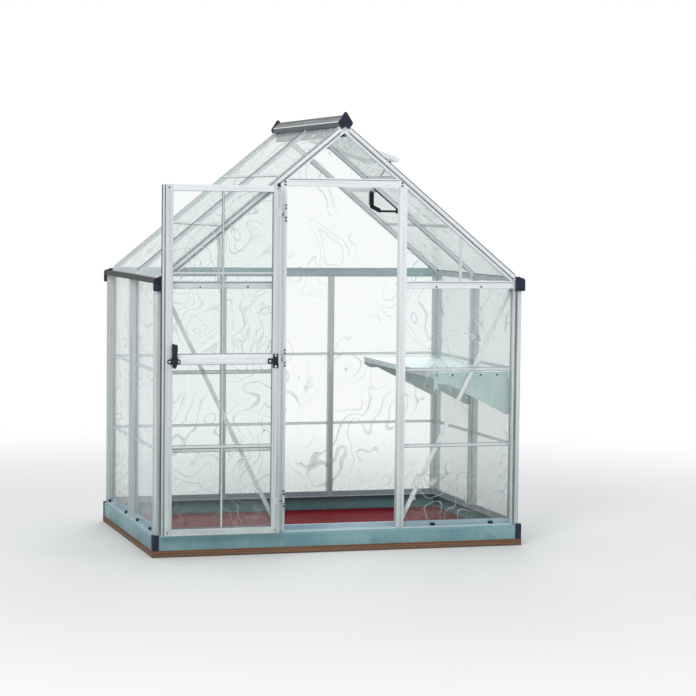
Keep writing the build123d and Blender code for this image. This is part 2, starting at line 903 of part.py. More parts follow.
def bracket_plate(y_span, reach):
    """Gusset plate under the shelf, out to a reach towards the wall."""
    top = shelf_top() - shelf_flange
    tip = shelf_inner_edge + bracket_tip_inset
    foot = top - bracket_drop
    outline = [
        (tip, top), (reach, top), (reach, foot), (reach - bracket_flange, foot),
        (tip + bracket_throat, top - bracket_web),
        (tip + bracket_nose_length, top - bracket_web), (tip, top - bracket_nose),
    ]
    return along_y(outline, y_span)


def shelf_brackets():
    """Brackets on both right-hand posts and on the middle stud."""
    top = shelf_top() - shelf_flange
    tip = shelf_inner_edge + bracket_tip_inset
    plate_y = (post_y - bracket_thickness, post_y)
    end = bracket_plate(plate_y, post_x + bracket_lap)
    flange_y = (post_y - bracket_flange, post_y)
    end = end + block((tip, post_x), flange_y, (top - bracket_thickness, top))
    middle = bracket_plate(around(0, bracket_thickness), post_x)
    flange = block((tip, post_x), around(0, 2 * bracket_flange), (top - bracket_thickness, top))
    return both_ends([end]) + [middle + flange]


door_foot = base_top + door_floor_gap
door_top = lintel_bottom + door_head_lap
door_near = hinge_offset
door_far = hinge_offset + door_width
door_clear = (door_near + hinge_stile_width, door_far - free_stile_width)
door_middle = sum(door_clear) / 2
door_thickness_span = (hinge_backset, hinge_backset + door_depth)
mid_rail_span = (deck_top + door_mid_height, deck_top + door_mid_height + door_mid_rail)


def hung(shapes):
    """Door shapes, drawn shut about the hinge pin, turned open against the wall."""
    return [Pos(hinge_x, hinge_y, 0) * Rot(0, 0, 180) * shape for shape in shapes]


def door_rail_spans():
    """Heights of the door's rails from the bottom up, with a divider between each two."""
    bottom = (door_foot, door_foot + door_bottom_rail)
    top = (door_top - door_top_rail, door_top)
    lower_divider = around((bottom[1] + mid_rail_span[0]) / 2, divider_height)
    upper_divider = around((mid_rail_span[1] + top[0]) / 2, divider_height)
    return [bottom, lower_divider, mid_rail_span, upper_divider, top]


def door_openings():
    """Clear heights between the door's rails."""
    spans = door_rail_spans()
    return [(spans[i][1], spans[i + 1][0]) for i in range(len(spans) - 1)]


def door_sheets():
    """Clear sheets of the door, two in each row, drawn shut."""
    y_span = around(sum(door_thickness_span) / 2, sheet_thickness)
    left = (door_clear[0], door_middle - door_centre_bar / 2)
    right = (door_middle + door_centre_bar / 2, door_clear[1])
    return [
        block(wider(span, sheet_seat), y_span, wider(levels, sheet_seat))
        for levels in door_openings() for span in (left, right)
    ]


def door_stiles(sheets):
    """Stiles of the door."""
    stiles = []
    for span in ((door_near, door_clear[0]), (door_clear[1], door_far)):
        stile = block(span, door_thickness_span, (door_foot, door_top))
        outer_side = span[0] if span[0] == door_near else span[1]
        inwards = 1 if span[0] == door_near else -1
        middle = outer_side + inwards * stile_channel_place
        for face in door_thickness_span:
            cut_y = around(face, 2 * member_channel_depth)
            stile = stile - block(around(middle, member_channel), cut_y, (door_foot, door_top))
        stiles.append(stile)
    return hung(grooved(stiles, sheets))


def mid_rail():
    """Middle rail of the door: a rounded face below, a sloping shoulder above it."""
    low, high = mid_rail_span
    near, far = door_thickness_span
    step = low + door_rail_face
    rounding = door_rail_round
    shoulder = door_rail_shoulder
    recess = door_rail_recess
    outline = [
        (near + rounding, low), (far - rounding, low), (far, low + rounding), (far, step - rounding),
        (far - shoulder, step), (far - recess, high), (near + recess, high),
        (near + shoulder, step), (near, step - rounding), (near, low + rounding),
    ]
    return along_x(outline, door_clear)


def door_rails(sheets):
    """Bottom, middle and top rails of the door."""
    spans = door_rail_spans()
    ends = [block(door_clear, door_thickness_span, spans[index]) for index in (0, -1)]
    return hung(grooved(ends + [mid_rail()], sheets))


def door_centre_bars(sheets):
    """Slim clear bars between the door's sheets: one across each half, uprights between."""
    y_span = wider(door_thickness_span, -centre_bar_recess)
    dividers = [block(door_clear, y_span, door_rail_spans()[index]) for index in (1, 3)]
    uprights = [
        block(around(door_middle, door_centre_bar), y_span, levels) for levels in door_openings()
    ]
    return hung(grooved(dividers + uprights, sheets))


def handle_outline():
    """Outline of a handle in (x, z): a lever over the rail and a short tail under it."""
    low, high = mid_rail_span
    middle = (low + high) / 2
    half = handle_lever_width / 2
    neck = handle_neck_width / 2
    right = [
        (neck - handle_taper, low - handle_tail), (neck, low), (half + handle_corner, middle),
        (neck, high), (half, high + handle_lever / 2), (half - handle_corner, high + handle_lever),
    ]
    left = [(-x, z) for x, z in reversed(right)]
    return [(handle_place + x, z) for x, z in right + left]


def door_handles():
    """Pull handles on both faces of the door, at the end of its middle rail."""
    middle = mid_rail_span[0] + door_rail_face / 2
    handles = []
    for face, sign in ((door_thickness_span[1], 1), (door_thickness_span[0], -1)):
        grip = sorted((face + (handle_stand - handle_grip) * sign, face + handle_stand * sign))
        lever = along_y(handle_outline(), grip)
        base_y = face + handle_base / 2 * sign
        base_height = around(middle, 2 * handle_ear_radius)
        ears = block(around(handle_place, handle_ear_spread), around(base_y, handle_base), base_height)
        for side in (-1, 1):
            ear = Rot(90, 0, 0) * Cylinder(handle_ear_radius, handle_base)
            ears = ears + Pos(handle_place + side * handle_ear_spread / 2, base_y, middle) * ear
        neck_y = sorted((face, face + (handle_stand - handle_grip) * sign))
        neck_width = handle_neck_width - handle_neck_shoulder
        neck_levels = wider(mid_rail_span, -2 * handle_neck_shoulder)
        neck = block(around(handle_place, neck_width), neck_y, neck_levels)
        boss_y = face + (handle_stand + handle_boss_rise / 2) * sign
        boss = Rot(90, 0, 0) * Cylinder(handle_boss_radius, handle_boss_rise)
        handles.append(ears + neck + lever + Pos(handle_place, boss_y, middle) * boss)
    return hung(handles)


def hinge_places():
    """Heights of the hinges' middles: near both ends of the door and at its middle rail."""
    return (door_foot + bottom_hinge_rise, sum(mid_rail_span) / 2, door_top - top_hinge_drop)


def door_hinges():
    """Upper half of each hinge: a bored knuckle, and plates on both faces of the stile."""
    hinges = []
    for place in hinge_places():
        low = place - hinge_height / 2
        middle = place + knuckle_gap / 2
        high = low + hinge_height
        upper = (middle + high) / 2
        knuckle = Pos(0, 0, upper) * Cylinder(knuckle_radius, high - middle)
        arm = block((0, hinge_offset), (hinge_backset - leaf_thickness, hinge_backset), (middle, high))
        leaf = block(
            (hinge_offset, hinge_offset + leaf_width),
            (hinge_backset - leaf_thickness, hinge_backset), (low, high),
        )
        bore = Pos(0, 0, upper) * Cylinder(pin_radius + pin_clearance, hinge_height)
        back_plate = block(
            (hinge_offset, hinge_offset + leaf_width),
            (door_thickness_span[1], door_thickness_span[1] + leaf_thickness),
            wider((low, high), back_plate_rise),
        )
        hinges.extend([knuckle + arm + leaf - bore, back_plate])
    return hung(hinges)


def hinge_pins():
    """Lower half of each hinge: a leaf on the jamb, an arm, a knuckle and the pin."""
    leaves = []
    face = -frame_y - hinge_y
    for place in hinge_places():
        low = place - hinge_height / 2
        middle = place - knuckle_gap / 2
        knuckle = Pos(0, 0, (low + middle) / 2) * Cylinder(knuckle_radius, middle - low)
        pin = Pos(0, 0, low + hinge_height / 2) * Cylinder(pin_radius, hinge_height)
        arm = block(around(0, 2 * leaf_thickness), (0, face), (low, middle))
        leaf = block(around(0, leaf_width), (face - leaf_thickness, face), (low, low + hinge_height))
        leaves.append(Pos(hinge_x, hinge_y, 0) * (knuckle + pin + arm + leaf))
    return leaves


def greenhouse():
    """Every node of the greenhouse with its solids."""
    front = front_panes()
    rear = rear_panes()
    sides = side_panes()
    roof = roof_panes()
    sheets = front + rear + sides + roof
    flap_sheet = vent_pane()
    flap = vent_flap(flap_sheet)
    sill = vent_sill(roof)
    door = door_sheets()
    return {
        "deck_boards": deck_boards(),
        "deck_bearers": deck_bearers(),
        "base_front": base_front(),
        "base_rear": base_rear(),
        "base_sides": base_sides(),
        "base_corners": base_corners(),
        "sill_front": grooved(sill_front(), front),
        "sill_rear": grooved(sill_rear(), rear),
        "side_sills": grooved(side_sills(), sides),
        "sill_clips": sill_clips(),
        "front_corner_posts": front_corner_posts(sheets),
        "rear_corner_posts": rear_corner_posts(sheets),
        "door_jambs": door_jambs(front),
        "door_lintel": door_lintel(front),
        "front_eave_rails": front_eave_rails(front),
        "rear_studs": rear_studs(rear),
        "rear_eave_beam": rear_eave_beam(rear),
        "side_studs": side_studs(sides),
        "gutters": gutters(),
        "eave_caps": eave_caps(),
        "front_rafters": front_rafters(front + roof),
        "middle_rafters": middle_rafters(roof),
        "rear_rafters": rear_rafters(rear + roof),
        "ridge_beam": ridge_beam(front + rear + roof),
        "ridge_caps": ridge_caps(),
        "wall_glazing_bars": wall_glazing_bars(front + rear + sides),
        "roof_glazing_bars": roof_glazing_bars(roof),
        "front_panes": front,
        "rear_panes": rear,
        "side_panes": sides,
        "roof_panes": roof,
        "wall_braces": wall_braces(),
        "vent_sill": sill,
        "vent_flap": flap,
        "vent_pane": flap_sheet,
        "vent_opener": vent_opener(sill, flap),
        "shelf_trays": shelf_trays(),
        "shelf_brackets": shelf_brackets(),
        "hinge_pins": hinge_pins(),
        "door_stiles": door_stiles(door),
        "door_rails": door_rails(door),
        "door_centre_bars": door_centre_bars(door),
        "door_panes": hung(door),
        "door_handles": door_handles(),
        "door_hinges": door_hinges(),
    }


os.makedirs("parts", exist_ok=True)
for name, shapes in greenhouse().items():
    solids = [solid for shape in shapes for solid in shape.solids()]
    export_step(Compound(label=name, children=solids), f"parts/{name}.step")
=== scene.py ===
import math

import bmesh
import bpy
from mathutils import Euler, Matrix, Vector


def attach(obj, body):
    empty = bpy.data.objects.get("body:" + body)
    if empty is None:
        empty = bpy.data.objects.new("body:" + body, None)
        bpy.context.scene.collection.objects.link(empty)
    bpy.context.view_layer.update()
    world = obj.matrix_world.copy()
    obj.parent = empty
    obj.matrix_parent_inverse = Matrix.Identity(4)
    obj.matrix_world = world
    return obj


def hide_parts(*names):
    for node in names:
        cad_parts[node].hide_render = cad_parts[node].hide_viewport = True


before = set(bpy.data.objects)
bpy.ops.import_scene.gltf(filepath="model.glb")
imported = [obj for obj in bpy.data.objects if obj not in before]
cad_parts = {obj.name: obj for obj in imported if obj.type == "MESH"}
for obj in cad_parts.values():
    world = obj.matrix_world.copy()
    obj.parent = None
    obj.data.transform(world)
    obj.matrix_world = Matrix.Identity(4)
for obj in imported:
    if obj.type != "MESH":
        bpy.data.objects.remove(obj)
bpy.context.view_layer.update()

# A small hobby greenhouse. Metres, +Z up; the door gable faces -Y and stands on its deck at z = 0.

# Faces and levels of the frame
BASE_TOP = 0.102
SILL_TOP = 0.132
EAVE_RAIL = (1.264, 1.300)
GUTTER_FLOOR = 1.288
POST_SHADE_STRIP = (BASE_TOP + 0.006, GUTTER_FLOOR - 0.002)
LINTEL = (1.748, 1.789)
ROOF_APEX = 2.0554
ROOF_PITCH = math.radians(39.5)
ROOF_SLOPE = math.tan(ROOF_PITCH)
CREST_RISE = 0.034
CREST_HALF = 0.030
CROWN_HALF = 0.004
FRONT_SHEET_DROP = 0.0454
REAR_SHEET_DROP = 0.0220
FRONT_SHADE_STRIP_DROP = 0.0255
REAR_SHADE_STRIP_DROP = 0.0105
FRAME_X = 0.913
FRAME_Y = 0.618
POST_X = 0.869
JAMB_INNER = 0.281
JAMB_OUTER = 0.317
EAVE_FACE = -0.6165
BRACE_FACE = -0.5833
REAR_RAFTER_EDGES = (0.5825, 0.6140)
BAY_SHEETS = ((SILL_TOP, 0.492), (0.506, 0.862), (0.876, EAVE_RAIL[0]))
BAY_GASKET = -0.5905
SHEET_THICKNESS = 0.0026
VENT_PITCH = math.radians(18.5)

# Clips on the sills: their levels, half width, depth, and how far the ledge rises below them
CLIP_LEVELS = (0.1089, 0.1225)
CLIP_HALF = 0.0130
CLIP_DEPTH = 0.012
CLIP_RISE = 0.0045

# The deck and the shelf
DECK_TOP = 0.032
BOARD_START = -0.6315
BOARD_HALF = 0.0695
BOARD_PITCH = 0.1403
BOARD_COUNT = 9
BEARER_LINES = (-0.870, 0.0, 0.870)
SHELF_ENDS = (0.4780, 0.8640)
SHELF_FACE = -0.5734
SHELF_TAB_FACE = -0.5746
SHELF_LEVEL = 0.8385

# The door, folded back against the left bay
DOOR_FAR = -0.894
DOOR_NEAR = -0.324
DOOR_CLEAR = (-0.844, -0.363)
DOOR_FACES = (-0.680, -0.655)
DOOR_LEVELS = (0.108, 1.750)
DOOR_RAILS = ((0.108, 0.138), (0.5185, 0.5305), (0.911, 0.958), (1.3335, 1.3455), (1.721, 1.750))
DOOR_MIDDLE = (DOOR_CLEAR[0] + DOOR_CLEAR[1]) / 2
DOOR_BAR = 0.008
HINGE_LEVELS = (0.262, 0.9345, 1.622)
HANDLE_X = -0.837
HANDLE_Z = 0.9255
HANDLE_FACES = (-0.686, -0.649)
HINGE_LEAF_FACE = -0.683
BRACKET_FACE = -0.6865


def roof_height(x):
    """Height of the roof's upper face at a distance from the middle."""
    return ROOF_APEX - abs(x) * ROOF_SLOPE


class Tone:
    """A value in a finish, with the sums that the finishes are written in."""

    def __init__(self, finish, socket):
        self.finish = finish
        self.socket = socket

    def worked(self, operation, *values, clamp=False):
        settings = {"operation": operation, "use_clamp": clamp}
        return self.finish.node("Math", settings, dict(enumerate(values)))

    def __add__(self, other):
        return self.worked("ADD", self, other)

    __radd__ = __add__

    def __sub__(self, other):
        return self.worked("SUBTRACT", self, other)

    def __rsub__(self, other):
        return self.worked("SUBTRACT", other, self)

    def __mul__(self, other):
        return self.worked("MULTIPLY", self, other)

    __rmul__ = __mul__

    def __abs__(self):
        return self.worked("ABSOLUTE", self)

    def sine(self):
        return self.worked("SINE", self)

    def fraction(self):
        return self.worked("FRACT", self)

    def whole(self):
        return self.worked("FLOOR", self)

    def limited(self):
        return self.worked("ADD", self, 0.0, clamp=True)

    def ramp(self, low, high):
        """0 below low, 1 above high, smooth between; low may be the larger."""
        if low > high:
            return 1 - self.ramp(high, low)
        settings = {"interpolation_type": "SMOOTHSTEP"}
        return self.finish.node("MapRange", settings, {0: self, 1: low, 2: high})


class Finish:
    """A node material, or the studio's surroundings, under construction."""

    def __init__(self, tree):
        self.tree = tree
        self.tree.nodes.clear()

    def node(self, kind, settings=None, sockets=None, output=0):
        """Adds a node, sets it up and returns one of its outputs."""
        made = self.tree.nodes.new("ShaderNode" + kind)
        for key, value in (settings or {}).items():
            setattr(made, key, value)
        for key, value in (sockets or {}).items():
            if isinstance(value, Tone):
                self.tree.links.new(value.socket, made.inputs[key])
            else:
                made.inputs[key].default_value = value
        return Tone(self, made.outputs[output]) if made.outputs else made

    def place(self):
        return self.node("TexCoord", output="Object")

    def axes(self):
        """The x, y and z of the place on the piece."""
        split = self.node("SeparateXYZ", sockets={0: self.place()})
        return [Tone(self, output) for output in split.socket.node.outputs]

    def at(self, x, y, z):
        return self.node("CombineXYZ", sockets={0: x, 1: y, 2: z})

    def stretched(self, scale, shift=(0, 0, 0)):
        """The place with each axis scaled, for grain that runs one way."""
        return self.node("Mapping", {}, {"Vector": self.place(), "Scale": scale, "Location": shift})

    def noise(self, scale, detail=2.0, rough=0.5, at=None):
        """Cloudy noise at the piece's own place, or at another."""
        return self.node("TexNoise", {}, {
            "Vector": at or self.place(), "Scale": scale, "Detail": detail, "Roughness": rough,
        })

    def blend(self, first, second, share):
        """Mixes two colours by a share."""
        return self.node("Mix", {"data_type": "RGBA"}, {0: share, 6: first, 7: second}, output=2)

    def bump(self, height, strength, distance):
        return self.node("Bump", {}, {"Height": height, "Strength": strength, "Distance": distance})

    def shiny(self, colour, roughness, **sockets):
        """The main shader; other sockets are named with _ for each space."""
        named = {key.replace("_", " "): value for key, value in sockets.items()}
        named.update({"Base Color": colour, "Roughness": roughness})
        return self.node("BsdfPrincipled", {}, named)


def material(name, recipe):
    """A material whose nodes come from a recipe that returns its shader."""
    made = bpy.data.materials.new(name)
    made.use_nodes = True
    finish = Finish(made.node_tree)
    finish.node("OutputMaterial", {}, {"Surface": recipe(finish)})
    return made


def rgb(red, green, blue):
    return (red, green, blue, 1.0)


def contour(field, count, shift, width):
    """Thin lines where a field passes evenly spaced levels."""
    return abs((field * count + shift).fraction() - 0.5).ramp(width, 0.0)


def satin_aluminium(across, along, pale, deep, reflection_share=0.80):
    """Extruded aluminium: fine lines along the bar, soft streaks, a painted blue-green reflection
    towards the bottom, and dustier below.
    """
    def recipe(finish):
        x, y, z = finish.axes()
        line = across(x, y, z)
        run = along(x, y, z)
        streak = finish.noise(1.0, detail=3.0, at=finish.at(line * 130.0, run * 1.6, 0.0))
        scratch = finish.noise(1.0, detail=2.0, at=finish.at(line * 900.0, run * 9.0, 4.0))
        cloud = finish.noise(4.5, detail=3.0)
        low = z.ramp(1.15, 0.15)
        splash = (z.ramp(0.60, 0.08) * finish.noise(13.0, detail=5.0, rough=0.65)).ramp(0.30, 0.62)
        clean = finish.blend(pale, deep, streak.ramp(0.42, 0.78))
        clean = finish.blend(clean, rgb(0.88, 0.89, 0.89), scratch.ramp(0.60, 0.75) * 0.5)
        # Painted reflection: a blue-green grey blended in towards the bottom stands for the grass
        # mirrored in the metal.
        painted_grass_reflection = finish.blend(rgb(0.54, 0.62, 0.61), rgb(0.36, 0.44, 0.45), streak.ramp(0.38, 0.72))
        colour = finish.blend(clean, painted_grass_reflection, low * reflection_share)
        colour = finish.blend(colour, deep, cloud.ramp(0.52, 0.78) * 0.4)
        colour = finish.blend(colour, rgb(0.30, 0.31, 0.27), splash * 0.30)
        roughness = 0.30 + streak * 0.16 + splash * 0.25
        relief = finish.bump(streak * 0.5 + scratch * 0.5, 0.20, 0.0006)
        return finish.shiny(colour, roughness, Metallic=0.35 - splash * 0.2, Normal=relief)
    return recipe


def coated_sheet(pale, deep, edge, highlight_low, highlight_high, sheen=0.40):
    """Coated folded sheet: even colour with faint runs and a painted highlight band along one edge.
    """
    def recipe(finish):
        x, y, z = finish.axes()
        cloud = finish.noise(3.0, detail=3.0)
        drip = finish.noise(1.0, detail=4.0, at=finish.stretched((46.0, 46.0, 3.5)))
        fleck = finish.noise(210.0, detail=2.0)
        splash = (z.ramp(0.11, 0.035) * finish.noise(18.0, detail=5.0, rough=0.7)).ramp(0.30, 0.62)
        body = finish.blend(deep, pale, (cloud * 0.85 + drip * 0.18).ramp(0.28, 0.72))
        # Painted highlight: a lighter band between the two levels stands for light caught along one
        # edge.
        body = finish.blend(body, edge, z.ramp(highlight_low, highlight_high) * 0.8)
        body = finish.blend(body, rgb(0.60, 0.68, 0.68), fleck.ramp(0.68, 0.80) * 0.30)
        colour = finish.blend(body, rgb(0.15, 0.20, 0.17), splash * 0.28)
        relief = finish.bump(fleck + drip * 0.5, 0.10, 0.0004)
        roughness = sheen + cloud * 0.15 + splash * 0.25
        return finish.shiny(colour, roughness, Metallic=0.20, Normal=relief)
    return recipe


def gutter_coat(finish):
    """Gutter: dark olive-grey coat outside with run marks, plain pale metal inside."""
    x, y, z = finish.axes()
    cloud = finish.noise(6.0, detail=4.0)
    drip = finish.noise(1.0, detail=4.0, at=finish.stretched((34.0, 34.0, 4.0)))
    grain = finish.noise(420.0, detail=1.0)
    deep, pale = rgb(0.024, 0.029, 0.023), rgb(0.050, 0.058, 0.047)
    colour = finish.blend(deep, pale, cloud.ramp(0.35, 0.80))
    colour = finish.blend(colour, rgb(0.12, 0.14, 0.13), drip.ramp(0.60, 0.82) * 0.25)
    plain = finish.blend(rgb(0.62, 0.67, 0.68), rgb(0.44, 0.50, 0.51), drip.ramp(0.40, 0.75))
    colour = finish.blend(colour, plain, abs(x).ramp(0.8845, 0.8815))
    relief = finish.bump(grain, 0.25, 0.0004)
    return finish.shiny(colour, 0.45 + cloud * 0.22, Normal=relief, Specular_IOR_Level=0.20)


def ridge_coat(finish):
    """Ridge: navy lip and crown, grey-green flanks with fine lines along them."""
    x, y, z = finish.axes()
    streak = finish.noise(1.0, detail=3.0, at=finish.at(z * 210.0, y * 2.2, x * 30.0))
    cloud = finish.noise(7.0, detail=3.0)
    deep, pale = rgb(0.014, 0.017, 0.034), rgb(0.034, 0.041, 0.068)
    navy = finish.blend(deep, pale, cloud.ramp(0.35, 0.80))
    deep, pale = rgb(0.085, 0.102, 0.096), rgb(0.200, 0.225, 0.215)
    flank = finish.blend(deep, pale, streak.ramp(0.35, 0.72))
    share = z.ramp(ROOF_APEX, ROOF_APEX + 0.003) * z.ramp(ROOF_APEX + 0.027, ROOF_APEX + 0.022)
    relief = finish.bump(streak, 0.20, 0.0005)
    return finish.shiny(finish.blend(navy, flank, share), 0.34 + cloud * 0.2, Normal=relief)


def moulding(deep, pale):
    """Moulded plastic: fine grain, faded in patches, dust on its upper faces."""
    def recipe(finish):
        grain = finish.noise(520.0, detail=2.0)
        cloud = finish.noise(24.0, detail=3.0)
        facing = finish.node("NewGeometry", output="Normal")
        up = finish.node("SeparateXYZ", {}, {0: facing}, output=2)
        dust = up.ramp(0.35, 1.0) * finish.noise(60.0, detail=4.0).ramp(0.35, 0.75)
        colour = finish.blend(deep, pale, cloud.ramp(0.4, 0.8))
        colour = finish.blend(colour, rgb(0.11, 0.12, 0.15), dust * 0.35)
        relief = finish.bump(grain, 0.35, 0.0003)
        roughness = 0.40 + cloud * 0.18 + dust * 0.25
        return finish.shiny(colour, roughness, Normal=relief, Specular_IOR_Level=0.30)
    return recipe


def dark_screw(finish):
    """Dark plated screw heads, rubbed bright in spots."""
    rub = finish.noise(300.0, detail=2.0)
    colour = finish.blend(rgb(0.030, 0.034, 0.042), rgb(0.16, 0.17, 0.18), rub.ramp(0.55, 0.80))
    relief = finish.bump(rub, 0.1, 0.0002)
    return finish.shiny(colour, 0.34 + rub * 0.2, Metallic=0.50, Normal=relief)


def black_rubber(finish):
    """Soft black sealing strip, duller than the mouldings."""
    cloud = finish.noise(45.0, detail=3.0)
    dust = finish.noise(170.0, detail=3.0).ramp(0.55, 0.85)
    deep, pale = rgb(0.018, 0.018, 0.020), rgb(0.050, 0.052, 0.055)
    colour = finish.blend(deep, pale, cloud.ramp(0.35, 0.8))
    colour = finish.blend(colour, rgb(0.20, 0.20, 0.18), dust * 0.25)
    return finish.shiny(colour, 0.62 + cloud * 0.2, Normal=finish.bump(cloud, 0.2, 0.0006))


def grey_seal_and_groove_shade(finish):
    """Grey plastic for the sheets' seals and for the strips that paint shade in the frame's
    grooves, paler where it has been rubbed.
    """
    cloud = finish.noise(9.0, detail=3.0)
    rub = finish.noise(150.0, detail=2.0)
    deep, pale = rgb(0.135, 0.150, 0.170), rgb(0.270, 0.290, 0.315)
    colour = finish.blend(deep, pale, cloud.ramp(0.35, 0.75))
    colour = finish.blend(colour, rgb(0.36, 0.39, 0.41), rub.ramp(0.62, 0.80) * 0.4)
    return finish.shiny(colour, 0.42 + cloud * 0.2, Normal=finish.bump(rub, 0.15, 0.0003))


def zinc_bolt(finish):
    """Bright zinc-plated fittings with faint dull patches."""
    cloud = finish.noise(160.0, detail=3.0)
    colour = finish.blend(rgb(0.72, 0.73, 0.72), rgb(0.42, 0.43, 0.42), cloud.ramp(0.45, 0.75))
    relief = finish.bump(cloud, 0.1, 0.0003)
    return finish.shiny(colour, 0.22 + cloud * 0.22, Metallic=0.85, Normal=relief)


def clear_film(finish):
    """Thin clear sheet: painted highlight loops of reflected light with painted dark refraction
    shade beside them where it buckles, and streaks on the roof.
    """
    x, y, z = finish.axes()
    drift = finish.noise(1.9, detail=2.0)
    warped = finish.at(x + drift * 0.5, y + drift * 0.35, z * 0.8 + drift * 0.4)
    field = finish.noise(4.2, detail=1.4, at=warped)
    elsewhere = finish.stretched((1, 1, 1), (3.1, 1.7, 5.2))
    patch = finish.noise(2.6, detail=1.0, at=elsewhere).ramp(0.45, 0.58)
    # Painted highlights: white glint loops; painted shade: dark refraction lines beside them.
    glint_loops = contour(field, 12.0, 0.00, 0.034) * patch
    shade = contour(field, 12.0, 0.075, 0.038) * patch
    roof = z.ramp(1.30, 1.33) * abs(y).ramp(0.583, 0.578)
    run = finish.noise(1.0, detail=3.0, at=finish.at(y * 24.0, x * 1.3, 2.0))
    streak = run.ramp(0.58, 0.76) * roof
    dust = finish.noise(21.0, detail=6.0, rough=0.62).ramp(0.50, 0.85)
    splash = (z.ramp(0.40, 0.13) * finish.noise(42.0, detail=5.0, rough=0.7)).ramp(0.30, 0.58)
    ripple = finish.bump(finish.noise(8.5, detail=1.5), 0.35, 0.006)
    edge_on = finish.node("Fresnel", {}, {"IOR": 1.45, "Normal": ripple})
    glints_shade_and_streaks = glint_loops * 0.50 + shade * 0.36 + streak * 0.10
    share = (edge_on * 0.40 + 0.006 + dust * 0.03 + splash * 0.06 + glints_shade_and_streaks).limited()
    through = finish.node("BsdfTransparent", {}, {"Color": rgb(0.972, 0.985, 0.981)})
    colour = finish.blend(rgb(0.78, 0.85, 0.84), rgb(0.93, 0.95, 0.945), (glint_loops + streak).limited())
    colour = finish.blend(colour, rgb(0.20, 0.27, 0.255), shade.limited())
    colour = finish.blend(colour, rgb(0.50, 0.49, 0.42), splash * 0.5)
    film = finish.shiny(colour, 0.06 + dust * 0.12, Normal=ripple)
    return finish.node("MixShader", {}, {0: share, 1: through, 2: film})


def clear_bar(finish):
    """Clear plastic profile between sheets: greyer in cloudy patches and with painted shade where
    it turns edge-on, with fine scuffs.
    """
    scuff = finish.noise(60.0, detail=4.0, rough=0.6)
    cloud = finish.noise(7.0, detail=3.0)
    turned = finish.node("LayerWeight", {}, {"Blend": 0.35}, output="Facing")
    share = (0.42 + turned * 0.40 + scuff.ramp(0.55, 0.80) * 0.15 + cloud * 0.15).limited()
    through = finish.node("BsdfTransparent", {}, {"Color": rgb(0.950, 0.965, 0.962)})
    # Greyer in cloudy patches, and painted shade where the bar turns edge-on.
    cloud_and_edge_shade = (cloud * 0.6 + turned * 0.5).ramp(0.3, 0.9)
    colour = finish.blend(rgb(0.86, 0.90, 0.90), rgb(0.62, 0.68, 0.69), cloud_and_edge_shade)
    plastic = finish.shiny(colour, 0.16 + scuff * 0.2, Normal=finish.bump(scuff, 0.15, 0.0004))
    return finish.node("MixShader", {}, {0: share, 1: through, 2: plastic})


def grain(finish, across, along):
    """Long timber grain: fine lines and broad bands, and how far they wander round knots."""
    wander = finish.noise(2.2, detail=2.0, at=finish.at(across * 4.0, along * 1.6, 0.0))
    lines = finish.at(across * 260.0, along * 7.0, wander * 3.0)
    fine = finish.noise(1.0, detail=5.0, rough=0.65, at=lines)
    bands = ((across * 520.0 + wander * 7.0).sine() * 0.5 + 0.5).ramp(0.15, 0.95)
    return fine, bands, wander


def floor_boards(finish):
    """Deck boards: crimson stain inside the walls, bare weathered timber at the outer edge."""
    x, y, z = finish.axes()
    board = ((y - BOARD_START) * (1 / BOARD_PITCH)).whole()
    one_way = {"noise_dimensions": "1D"}
    tint = finish.node("TexWhiteNoise", one_way, {"W": board + 3.0}, output="Value")
    fine, bands, wander = grain(finish, y + z, x + tint * 4.0)
    worn = finish.noise(5.0, detail=5.0, rough=0.65).ramp(0.50, 0.78)
    stained = (fine * 0.6 + tint * 0.5).ramp(0.3, 0.9)
    red = finish.blend(rgb(0.130, 0.006, 0.013), rgb(0.285, 0.017, 0.032), stained)
    red = finish.blend(red, rgb(0.30, 0.075, 0.070), worn * 0.25)
    weathered = (fine * 0.7 + bands * 0.3).ramp(0.2, 0.9)
    bare = finish.blend(rgb(0.13, 0.062, 0.036), rgb(0.29, 0.165, 0.10), weathered)
    outside = (abs(x).ramp(0.890, 0.896) + abs(y).ramp(0.596, 0.602)).limited()
    colour = finish.blend(red, bare, outside)
    relief = finish.bump(fine * 0.7 + bands * 0.35, 0.45, 0.0012)
    return finish.shiny(colour, 0.62 + fine * 0.25, Normal=relief, Specular_IOR_Level=0.08)


def deck_timber(finish):
    """Bearers under the deck: brown softwood, greyer and darker towards the ground."""
    x, y, z = finish.axes()
    lengthwise = abs(y).ramp(0.568, 0.570)
    across = x * (1 - lengthwise) + y * lengthwise + z
    along = y * (1 - lengthwise) + x * lengthwise
    fine, bands, wander = grain(finish, across, along)
    weathered = (fine * 0.7 + bands * 0.3).ramp(0.2, 0.9)
    colour = finish.blend(rgb(0.11, 0.055, 0.032), rgb(0.27, 0.155, 0.092), weathered)
    # Darker towards the ground.
    darker_below = (z.ramp(0.016, 0.0) * (wander + 0.4)).limited()
    colour = finish.blend(colour, rgb(0.060, 0.050, 0.038), darker_below * 0.7)
    relief = finish.bump(fine * 0.7 + bands * 0.4, 0.5, 0.0014)
    return finish.shiny(colour, 0.60 + fine * 0.2, Normal=relief)


